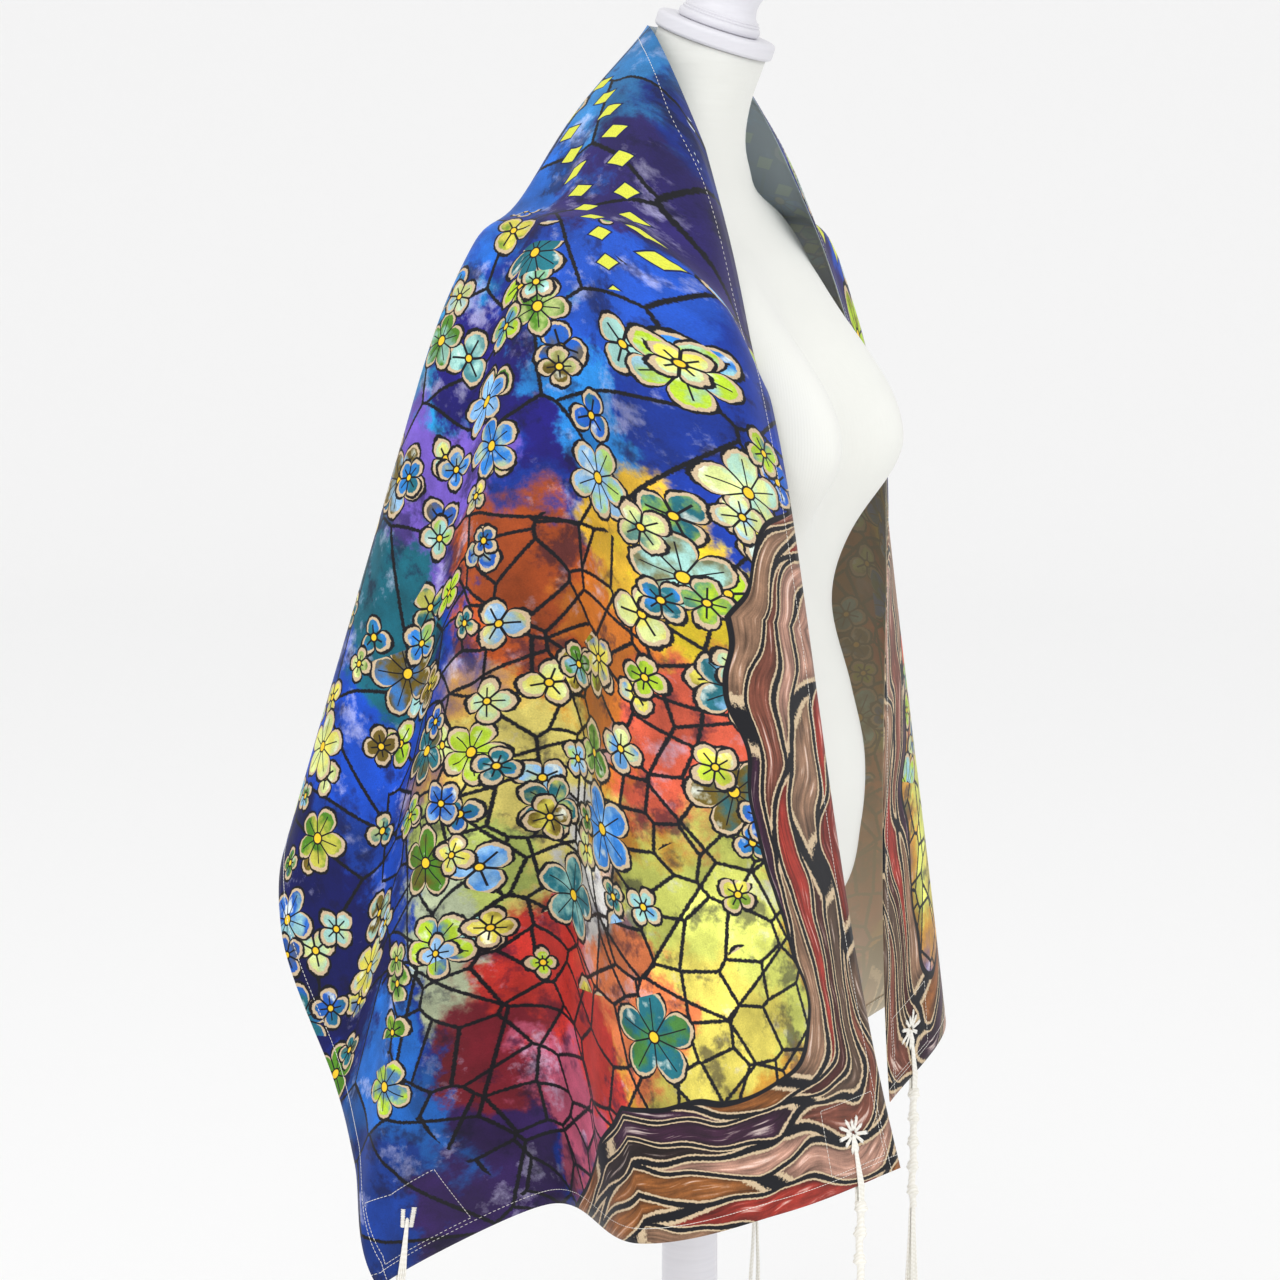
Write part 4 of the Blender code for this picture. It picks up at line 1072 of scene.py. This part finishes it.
def blossoms(tree, place, grown, mottle, hand, colour, sowing):
    """Blossoms at scattered points: round petals about a dot, black outline, tan rim, a vein each.

    The hand is noise that sets how unsteadily they are drawn. The rim lies at radius *
    (notch + (1 - notch) * |cos(petals / 2 * angle)| ** 0.6) from the middle.
    """
    moved = add(tree, "VectorMath", {0: place, 1: (sowing.shift, sowing.shift, 0.0)}, operation="ADD")
    cell = add(
        tree, "TexVoronoi", {"Vector": moved, "Scale": 1 / sowing.spacing, "Randomness": 0.72},
        voronoi_dimensions="2D", feature="F1",
    )
    away = add(tree, "VectorMath", {0: moved, 1: cell.outputs["Position"]}, operation="SUBTRACT")
    parts = add(tree, "SeparateXYZ", {"Vector": away})
    chance = add(tree, "SeparateColor", {"Color": cell.outputs["Color"]})
    angle = add(tree, "Math", {0: parts.outputs["Y"], 1: parts.outputs["X"]}, operation="ARCTAN2")
    start = add(tree, "Math", {0: chance.outputs["Green"], 1: math.tau}, operation="MULTIPLY")
    phase = add(tree, "Math", {0: angle, 1: sowing.petals / 2, 2: start}, operation="MULTIPLY_ADD")
    cosine = add(tree, "Math", {0: phase}, operation="COSINE")
    lobe = add(tree, "Math", {0: cosine}, operation="ABSOLUTE")
    petal = add(tree, "Math", {0: lobe, 1: 0.6}, operation="POWER")
    size = add(
        tree, "MapRange",
        {"Value": chance.outputs["Blue"], "To Min": 0.80 * sowing.radius, "To Max": 1.20 * sowing.radius},
    )
    shape = add(tree, "Math", {0: petal, 1: 1 - sowing.notch, 2: sowing.notch}, operation="MULTIPLY_ADD")
    rim = add(tree, "Math", {0: shape, 1: size}, operation="MULTIPLY")
    reach = add(tree, "VectorMath", {0: away}, operation="LENGTH")
    # Hand and shift together move the outline by 5 mm either way.
    shrunk = add(tree, "Math", {0: rim, 1: 0.0050}, operation="SUBTRACT")
    inside = add(tree, "Math", {0: shrunk, 1: reach}, operation="SUBTRACT")
    depth = add(tree, "Math", {0: hand, 1: 0.0100, 2: inside}, operation="MULTIPLY_ADD")
    odds = add(tree, "Math", {0: grown, 1: sowing.bearing}, operation="MULTIPLY")
    borne = add(tree, "Math", {0: odds, 1: chance.outputs["Red"]}, operation="GREATER_THAN")
    # Distances in metres on the cloth from the line between two petals, and from a petal's vein.
    split = add(tree, "Math", {0: lobe, 1: reach}, operation="MULTIPLY")
    sine = add(tree, "Math", {0: phase}, operation="SINE")
    vein = add(tree, "Math", {0: sine, 1: reach}, operation="MULTIPLY")
    rib = add(tree, "Math", {0: vein}, operation="ABSOLUTE")
    short = add(tree, "Math", {0: 0.0100, 1: depth}, operation="SUBTRACT")
    ribbed = add(tree, "Math", {0: rib, 1: short}, operation="MAXIMUM")
    dyes = []
    for channel, times, colours in (("Red", 7.3, PETAL_COLOURS), ("Green", 5.1, PETAL_COLOURS[::-1])):
        pick = add(tree, "Math", {0: chance.outputs[channel], 1: times}, operation="MULTIPLY")
        wrapped = add(tree, "Math", {0: pick}, operation="FRACT")
        dyes.append(add(tree, "ValToRGB", {"Fac": wrapped}))
        even_ramp(dyes[-1].color_ramp, colours)
    # The second dye runs into the first, and highlights are bare where the brush was dry.
    brush = add(tree, "TexNoise", {"Vector": moved, "Scale": 48.0, "Detail": 5.0})
    run = add(tree, "MapRange", {"Value": brush, "From Min": 0.47, "From Max": 0.60, "To Max": 0.8})
    two = add(tree, "Mix", {SHARE: run, UNDER: dyes[0], OVER: dyes[1]}, data_type="RGBA")
    lit = painted(tree, two, ((brush, 0.40, 0.32, 0.75, "#e6ebe2"),))
    shaded = add(tree, "VectorMath", {0: lit, "Scale": mottle}, operation="SCALE")
    dot = 0.11 * sowing.radius
    made = painted(tree, shaded, (
        (depth, 0.0056, 0.0050, 1.0, LINE_TAN),
        (ribbed, 0.0015, 0.0010, 1.0, LINE_BLACK),
        (split, 0.0019, 0.0013, 1.0, LINE_BLACK),
        (reach, dot + 0.0019, dot + 0.0014, 1.0, LINE_BLACK),
        (reach, dot + 0.0005, dot, 1.0, "#e9c83c"),
        (depth, 0.0027, 0.0022, 1.0, LINE_BLACK),
    ))
    cover = add(tree, "MapRange", {"Value": depth, "From Min": -0.0003, "From Max": 0.0003})
    shown = add(tree, "Math", {0: cover, 1: borne}, operation="MULTIPLY")
    return add(tree, "Mix", {SHARE: shown, UNDER: colour, OVER: made}, data_type="RGBA")


def sliver_border(tree, place, folded, mottle, colour):
    """Long slivers in browns and reds that flow along the hem and turn up beside the front edge.

    The slivers are stretched cells on two coordinates: the depth, which is the lesser of the
    distances from the hem and from the front edge, and the difference of the two distances, to
    which a few times the depth is added so that the slivers' ends are slanted.
    """
    parts = add(tree, "SeparateXYZ", {"Vector": folded})
    to_hem = add(tree, "Math", {0: CLOTH_HALF, 1: parts.outputs["X"]}, operation="SUBTRACT")
    # The border narrows to nothing along the hem's outer part and at the front edge's upper part.
    outer = add(tree, "Math", {0: parts.outputs["Y"], 1: 0.27}, operation="SUBTRACT")
    faded = add(tree, "Math", {0: outer, 1: 0.0}, operation="MAXIMUM")
    from_hem = add(tree, "Math", {0: faded, 1: 0.8, 2: to_hem}, operation="MULTIPLY_ADD")
    high = add(tree, "Math", {0: 0.58, 1: parts.outputs["X"]}, operation="SUBTRACT")
    risen = add(tree, "Math", {0: high, 1: 0.0}, operation="MAXIMUM")
    from_edge = add(tree, "Math", {0: parts.outputs["Y"], 1: 1.12, 2: risen}, operation="MULTIPLY_ADD")
    least = add(tree, "Math", {0: from_hem, 1: from_edge, 2: 0.09}, operation="SMOOTH_MIN")
    sway = add(tree, "TexNoise", {"Vector": place, "Scale": 6.0, "Detail": 2.0, "Roughness": 0.4})
    swayed = add(tree, "Math", {0: sway, 1: BORDER_SWAY, 2: least}, operation="MULTIPLY_ADD")
    both = add(tree, "SeparateXYZ", {"Vector": place})
    left = add(tree, "Math", {0: both.outputs["X"], 1: 0.0}, operation="LESS_THAN")
    depth = add(tree, "Math", {0: left, 1: LEFT_SHALLOWER, 2: swayed}, operation="MULTIPLY_ADD")
    along = add(tree, "Math", {0: from_hem, 1: from_edge}, operation="SUBTRACT")
    run = add(tree, "Math", {0: depth, 1: SLIVER_SLANT, 2: along}, operation="MULTIPLY_ADD")
    way = add(tree, "CombineXYZ", {"X": depth, "Y": run})
    cells = add(
        tree, "VectorMath", {0: way, 1: (1 / SLIVER_WIDE, 1 / SLIVER_LONG, 0.0)}, operation="MULTIPLY"
    )
    pattern = {"Vector": cells, "Scale": 1.0, "Randomness": 0.9}
    sliver = add(tree, "TexVoronoi", pattern, voronoi_dimensions="2D", feature="F1")
    border = add(tree, "TexVoronoi", pattern, voronoi_dimensions="2D", feature="DISTANCE_TO_EDGE")
    dry = add(tree, "TexNoise", {"Vector": place, "Scale": 420.0, "Detail": 4.0, "Roughness": 0.7})
    rough = add(tree, "Math", {0: dry, 1: 0.0036, 2: -0.0018}, operation="MULTIPLY_ADD")
    inset = add(tree, "Math", {0: border, 1: SLIVER_WIDE, 2: rough}, operation="MULTIPLY_ADD")
    chance = add(tree, "SeparateColor", {"Color": sliver.outputs["Color"]})
    fill = add(tree, "ValToRGB", {"Fac": chance.outputs["Red"]})
    even_ramp(fill.color_ramp, BAND_COLOURS)
    # Each sliver is darker towards its outline and has dry pale streaks along its middle.
    round_off = add(
        tree, "MapRange",
        {"Value": inset, "From Min": 0.002, "From Max": 0.0085, "To Min": 0.40, "To Max": 1.05},
    )
    streaks = add(tree, "VectorMath", {0: way, 1: (1 / 0.0035, 1 / 0.050, 0.0)}, operation="MULTIPLY")
    bristle = add(tree, "TexNoise", {"Vector": streaks, "Scale": 1.0, "Detail": 4.0})
    dragged = add(
        tree, "MapRange",
        {"Value": bristle, "From Min": 0.3, "From Max": 0.7, "To Min": 0.45, "To Max": 1.40},
    )
    tone = add(tree, "Math", {0: round_off, 1: mottle}, operation="MULTIPLY")
    shade = add(tree, "Math", {0: tone, 1: dragged}, operation="MULTIPLY")
    shaded = add(tree, "VectorMath", {0: fill, "Scale": shade}, operation="SCALE")
    streak = add(tree, "MapRange", {"Value": bristle, "From Min": 0.57, "From Max": 0.66})
    heart = add(
        tree, "MapRange", {"Value": inset, "From Min": 0.0065, "From Max": 0.0100, "To Max": 0.62}
    )
    shine = add(tree, "Math", {0: streak, 1: heart}, operation="MULTIPLY")
    lit = add(tree, "Mix", {SHARE: shine, UNDER: shaded, OVER: linear("#e9dbd2")}, data_type="RGBA")
    made = painted(tree, lit, (
        (inset, 0.0043, 0.0037, 1.0, LINE_TAN),
        (inset, 0.0025, 0.0020, 1.0, LINE_BLACK),
    ))
    limit = BORDER_DEEP + BORDER_SWAY / 2
    near = add(tree, "MapRange", {"Value": depth, "From Min": limit + 0.0004, "From Max": limit})
    laid = add(tree, "Mix", {SHARE: near, UNDER: colour, OVER: made}, data_type="RGBA")
    rim = add(tree, "Math", {0: depth, 1: limit + 0.0012}, operation="SUBTRACT")
    gap = add(tree, "Math", {0: rim}, operation="ABSOLUTE")
    return painted(tree, laid, ((gap, 0.0028, 0.0022, 1.0, LINE_BLACK),))


def lozenges(tree, folded, colour):
    """Two rows of small yellow lozenges beside the neck edge, each with a dark outline."""
    parts = add(tree, "SeparateXYZ", {"Vector": folded})
    for row, across in enumerate(LOZENGE_ROWS):
        steps = add(
            tree, "Math", {0: parts.outputs["X"], 1: 1 / LOZENGE_PITCH, 2: 0.5 * row},
            operation="MULTIPLY_ADD",
        )
        part = add(tree, "Math", {0: steps}, operation="FRACT")
        middle = add(tree, "Math", {0: part, 1: 0.5}, operation="SUBTRACT")
        aside = add(tree, "Math", {0: middle}, operation="ABSOLUTE")
        off = add(tree, "Math", {0: parts.outputs["Y"], 1: across}, operation="SUBTRACT")
        above = add(tree, "Math", {0: off}, operation="ABSOLUTE")
        reach = add(tree, "Math", {0: aside, 1: LOZENGE_PITCH * 1.5, 2: above}, operation="MULTIPLY_ADD")
        run = add(tree, "Math", {0: parts.outputs["X"], 1: 0.21 + 0.02 * row}, operation="SUBTRACT")
        past = add(tree, "Math", {0: run}, operation="ABSOLUTE")
        kept = add(tree, "Math", {0: past, 1: 0.127}, operation="LESS_THAN")
        colour = painted(tree, colour, (
            (reach, 0.0114, 0.0108, kept, "#16235c"),
            (reach, 0.0094, 0.0088, kept, "#d3d65a"),
        ))
    return colour


def print_colour(tree):
    """The whole print: (its colour, the place on the flat cloth in metres)."""
    chart = add(tree, "UVMap", uv_map="flat")
    span = 2 * CLOTH_HALF
    place = add(
        tree, "VectorMath", {0: chart, 1: (span, span, 0.0), 2: (-CLOTH_HALF, 0.0, 0.0)},
        operation="MULTIPLY_ADD",
    )
    parts = add(tree, "SeparateXYZ", {"Vector": place})
    width = add(tree, "Math", {0: parts.outputs["X"]}, operation="ABSOLUTE")
    folded = add(tree, "CombineXYZ", {"X": width, "Y": parts.outputs["Y"]})
    blot = add(tree, "TexNoise", {"Vector": place, "Scale": 26.0, "Detail": 6.0, "Roughness": 0.66})
    mottle = add(
        tree, "MapRange",
        {"Value": blot, "From Min": 0.28, "From Max": 0.72, "To Min": 0.62, "To Max": 1.28},
    )
    # Paper left pale between brush strokes, and pools where the dye dried dark.
    strokes = add(tree, "SeparateColor", {"Color": blot.outputs["Color"]})
    colour = painted(tree, dyed_ground(tree, folded), (
        (strokes.outputs["Green"], 0.57, 0.66, 0.45, "#d4d2ea"),
        (strokes.outputs["Blue"], 0.54, 0.62, 0.62, "#1c1644"),
    ))
    wet = add(tree, "VectorMath", {0: colour, "Scale": mottle}, operation="SCALE")
    colour = leaded(tree, place, folded, wet)
    far = ellipse_distance(tree, folded, (0.52, 0.34), (0.30, 0.40))
    grown = add(tree, "MapRange", {"Value": far, "From Min": 1.15, "From Max": 0.85, "To Min": 0.06})
    hand = add(tree, "TexNoise", {"Vector": place, "Scale": 60.0, "Detail": 5.0, "Roughness": 0.7})
    for sowing in SOWINGS:
        colour = blossoms(tree, place, grown, mottle, hand, colour, sowing)
    colour = sliver_border(tree, place, folded, mottle, colour)
    return lozenges(tree, folded, colour), place


def make_print(name, veils=None, veil_share=0.0, sheen=0.08, roughness=0.55):
    """Printed satin; with veil colours it is the same cloth's reverse, where the print shows faintly."""
    made, tree, shader = new_material(name)
    colour, place = print_colour(tree)
    # Grains of pigment, which give the print its dry brushed look; real grains are finer than 1 mm.
    grain = add(tree, "TexNoise", {"Vector": place, "Scale": 900.0, "Detail": 2.0})
    tooth = add(tree, "MapRange", {"Value": grain, "To Min": 0.74, "To Max": 1.22})
    dry = add(tree, "VectorMath", {0: colour, "Scale": tooth}, operation="SCALE")
    # Deeper middle tones, as dye that has soaked in.
    soaked = add(tree, "Gamma", {"Color": dry, "Gamma": 1.28})
    colour = add(tree, "VectorMath", {0: soaked, "Scale": 1.22}, operation="SCALE")
    if veils:
        # The bare side of the threads, cooler beside the neck and warmer lower down. Its thicker cover
        # beside the neck is painted light that brightens the shaded inside of the cloth there.
        parts = add(tree, "SeparateXYZ", {"Vector": place})
        width = add(tree, "Math", {0: parts.outputs["X"]}, operation="ABSOLUTE")
        lower = add(tree, "MapRange", {"Value": width, "From Min": 0.25, "From Max": 0.55})
        veil = add(
            tree, "Mix", {SHARE: lower, UNDER: linear(veils[0]), OVER: linear(veils[1])}, data_type="RGBA"
        )
        # Painted light: 0.14 more veil beside the neck, paler where the cloth's inside lies in shade.
        cover = add(tree, "MapRange", {"Value": lower, "To Min": veil_share + 0.14, "To Max": veil_share})
        colour = add(tree, "Mix", {SHARE: cover, UNDER: colour, OVER: veil}, data_type="RGBA")
    # The satin's weave as faint slanting ribs, 1.6 mm apart where the real ones are 0.3 mm.
    weave = add(
        tree, "TexWave", {"Vector": place, "Scale": math.pi / 10 / 0.0016, "Distortion": 0.4},
        bands_direction="DIAGONAL",
    )
    soft = add(tree, "TexNoise", {"Vector": place, "Scale": 55.0, "Detail": 3.0})
    fine = add(tree, "Bump", {"Strength": 0.12, "Distance": 0.00004, "Height": weave.outputs["Fac"]})
    slub = add(tree, "Bump", {"Strength": 0.35, "Distance": 0.0006, "Height": soft, "Normal": fine})
    connect(tree, shader, {"Base Color": colour, "Normal": slub})
    shader.inputs["Roughness"].default_value = roughness
    shader.inputs["Sheen Weight"].default_value = sheen
    shader.inputs["Sheen Roughness"].default_value = 0.45
    shader.inputs["Specular IOR Level"].default_value = 0.25
    return made


def make_thread():
    """Off-white wool thread: a slanting twist along each strand, and a dull fuzzy surface."""
    made, tree, shader = new_material("off_white_wool_thread")
    place = add(tree, "TexCoord").outputs["Object"]
    fuzz = add(tree, "TexNoise", {"Vector": place, "Scale": 700.0, "Detail": 3.0})
    # Shadows between the plies tell the eye that the thread is spun; plies 2 mm long along the strand.
    twist = add(
        tree, "TexWave", {"Vector": place, "Scale": math.pi / 10 / 0.0020, "Distortion": 1.5},
        bands_direction="DIAGONAL",
    ).outputs["Fac"]
    tone = add(
        tree, "Mix", {SHARE: twist, UNDER: linear("#e9e6dc"), OVER: linear("#f2f0e9")}, data_type="RGBA"
    )
    ply = add(tree, "Bump", {"Strength": 0.10, "Distance": 0.0002, "Height": twist})
    hairy = add(tree, "Bump", {"Strength": 0.4, "Distance": 0.0002, "Height": fuzz, "Normal": ply})
    connect(tree, shader, {"Base Color": tone, "Normal": hairy})
    shader.inputs["Roughness"].default_value = 0.9
    shader.inputs["Sheen Weight"].default_value = 0.4
    return made


def make_jersey():
    """Stretched off-white cotton jersey: fine upright ribs, a soft nap and slight greying by handling."""
    made, tree, shader = new_material("off_white_cotton_jersey")
    place = add(tree, "TexCoord").outputs["Object"]
    # Knitted ribs drawn 2 mm apart where the real ones are 0.8 mm, so that they stay even in the picture.
    parts = add(tree, "SeparateXYZ", {"Vector": place})
    around = add(tree, "Math", {0: parts.outputs["X"], 1: parts.outputs["Y"]}, operation="ARCTAN2")
    ribs = add(tree, "Math", {0: around, 1: 480.0}, operation="MULTIPLY")
    rib = add(tree, "Math", {0: ribs}, operation="SINE")
    cloud = add(tree, "TexNoise", {"Vector": place, "Scale": 9.0, "Detail": 4.0, "Roughness": 0.55})
    tone = add(
        tree, "Mix", {SHARE: cloud, UNDER: linear("#dedfda"), OVER: linear("#e9e9e4")}, data_type="RGBA"
    )
    knit = add(tree, "Bump", {"Strength": 0.15, "Distance": 0.0002, "Height": rib})
    # Slack knit gathers in short level wrinkles just under the neck cap.
    squeezed = add(tree, "VectorMath", {0: place, 1: (14.0, 14.0, 70.0)}, operation="MULTIPLY")
    gather = add(tree, "TexNoise", {"Vector": squeezed, "Scale": 1.0, "Detail": 2.0})
    under_cap = add(tree, "MapRange", {"Value": parts.outputs["Z"], "From Min": 1.33, "From Max": 1.44})
    wrinkle = add(tree, "Math", {0: gather, 1: under_cap}, operation="MULTIPLY")
    slack = add(tree, "Bump", {"Strength": 0.8, "Distance": 0.0022, "Height": wrinkle, "Normal": knit})
    connect(tree, shader, {"Base Color": tone, "Normal": slack})
    shader.inputs["Roughness"].default_value = 0.92
    shader.inputs["Sheen Weight"].default_value = 0.3
    shader.inputs["Specular IOR Level"].default_value = 0.2
    return made


def make_paint():
    """White satin paint on turned wood: cool white, faint brush drag round the turning, soft gloss."""
    made, tree, shader = new_material("white_satin_paint")
    place = add(tree, "TexCoord").outputs["Object"]
    stretched = add(tree, "VectorMath", {0: place, 1: (20.0, 20.0, 420.0)}, operation="MULTIPLY")
    drag = add(tree, "TexNoise", {"Vector": stretched, "Scale": 1.0, "Detail": 3.0})
    tone = add(
        tree, "Mix", {SHARE: drag, UNDER: linear("#d3d2d8"), OVER: linear("#dfdee4")}, data_type="RGBA"
    )
    brushed = add(tree, "Bump", {"Strength": 0.2, "Distance": 0.0002, "Height": drag})
    connect(tree, shader, {"Base Color": tone, "Normal": brushed})
    shader.inputs["Roughness"].default_value = 0.42
    shader.inputs["Coat Weight"].default_value = 0.25
    shader.inputs["Coat Roughness"].default_value = 0.3
    return made


# The photograph's camera: degrees and metres, with its focal length and the pole's place in pixels.
CAMERA_AZIMUTH = -65.0
CAMERA_DISTANCE = 2.3
CAMERA_HEIGHT = 1.31
CAMERA_PITCH = 8.65
FOCAL_PIXELS = 2760.0
POLE_PIXEL = 692.0
FRAME_PIXELS = 1280.0
# The backdrop: where it bends up, the bend's radius, its height, and the floor's reach to the other sides.
BACKDROP_AWAY = 7.0
BACKDROP_BEND = 2.0
BACKDROP_HIGH = 9.0
FLOOR_REACH = 30.0
FLOOR_DROP = 0.0005


def make_studio():
    """A white floor that curves up into a backdrop, soft daylight from all round and two large lamps."""
    sweep = np.linspace(0, math.pi / 2, 24)
    bend = BACKDROP_BEND
    back = np.concatenate([[-FLOOR_REACH], BACKDROP_AWAY + bend * np.sin(sweep), [BACKDROP_AWAY + bend]])
    height = np.concatenate([[0.0], bend * (1 - np.cos(sweep)), [BACKDROP_HIGH]])
    side = np.array([-FLOOR_REACH, FLOOR_REACH])
    away = math.radians(CAMERA_AZIMUTH)
    ahead = np.array([-math.sin(away), math.cos(away), 0.0])
    right = np.array([math.cos(away), math.sin(away), 0.0])
    points = back[:, None, None] * ahead + side[:, None] * right
    points[..., 2] += height[:, None] - FLOOR_DROP
    mesh = bpy.data.meshes.new("studio_floor")
    mesh.from_pydata(points.reshape(-1, 3).tolist(), [], grid_faces(len(back), 2).tolist())
    mesh.shade_smooth()
    floor = bpy.data.objects.new("studio_floor", mesh)
    bpy.context.scene.collection.objects.link(floor)
    made, _, shader = new_material("matt_backdrop_paper")
    shader.inputs["Base Color"].default_value = linear("#fbfbfb")
    shader.inputs["Roughness"].default_value = 0.9
    shader.inputs["Specular IOR Level"].default_value = 0.1
    mesh.materials.append(made)
    world = bpy.data.worlds.new("studio_daylight")
    bpy.context.scene.world = world
    world.use_nodes = True
    world.node_tree.nodes["Background"].inputs["Color"].default_value = (1.0, 1.0, 1.0, 1.0)
    world.node_tree.nodes["Background"].inputs["Strength"].default_value = 0.92
    for name, azimuth, elevation, distance, size, power in (
        ("key_softbox", -86.0, 40.0, 3.4, 3.0, 36.0),
        ("fill_softbox", -25.0, 12.0, 3.6, 3.0, 20.0),
    ):
        lamp = bpy.data.lights.new(name, "AREA")
        lamp.shape = "SQUARE"
        lamp.size = size
        lamp.energy = power
        holder = bpy.data.objects.new(name, lamp)
        turn, rise = math.radians(azimuth), math.radians(elevation)
        level = math.cos(rise)
        way = Vector((math.sin(turn) * level, -math.cos(turn) * level, math.sin(rise)))
        holder.location = Vector((0, 0, 1.05)) + way * distance
        holder.rotation_mode = "QUATERNION"
        holder.rotation_quaternion = (-way).to_track_quat("-Z", "Y")
        bpy.context.scene.collection.objects.link(holder)


def make_camera():
    """The photograph's view: from the form's right and before it, with the pole right of centre."""
    lens = bpy.data.cameras.new("photo_camera")
    camera = bpy.data.objects.new("photo_camera", lens)
    away, down = math.radians(CAMERA_AZIMUTH), math.radians(CAMERA_PITCH)
    back = Vector((math.sin(away), -math.cos(away), 0.0))
    right = Vector((math.cos(away), math.sin(away), 0.0))
    swing = math.atan2(POLE_PIXEL - FRAME_PIXELS / 2, FOCAL_PIXELS)
    level = -back * math.cos(swing) - right * math.sin(swing)
    forward = level * math.cos(down) - Vector((0.0, 0.0, 1.0)) * math.sin(down)
    camera.location = back * CAMERA_DISTANCE + Vector((0.0, 0.0, CAMERA_HEIGHT))
    camera.rotation_mode = "QUATERNION"
    camera.rotation_quaternion = forward.to_track_quat("-Z", "Y")
    lens.sensor_width = 36.0
    lens.lens = FOCAL_PIXELS * 36.0 / FRAME_PIXELS
    bpy.context.scene.collection.objects.link(camera)
    bpy.context.scene.camera = camera


def main():
    """Makes every piece, the studio and the camera."""
    printed = make_print("printed_satin")
    reverse = make_print(
        "satin_reverse", veils=("#e6f2f6", "#e2d6be"), veil_share=0.70, sheen=0.1, roughness=0.75
    )
    thread = make_thread()
    jersey = make_jersey()
    paint = make_paint()
    cloth = make_shawl(printed, reverse)
    going = [make_hems(reverse), make_stitches(thread)]
    for corner in CORNERS:
        going += [make_patch(corner, reverse), make_eyelet(corner, thread), make_tassel(corner, thread)]
    make_form(jersey)
    make_turned(paint)
    make_studio()
    make_camera()
    bpy.context.scene.view_settings.view_transform = "Standard"


main()
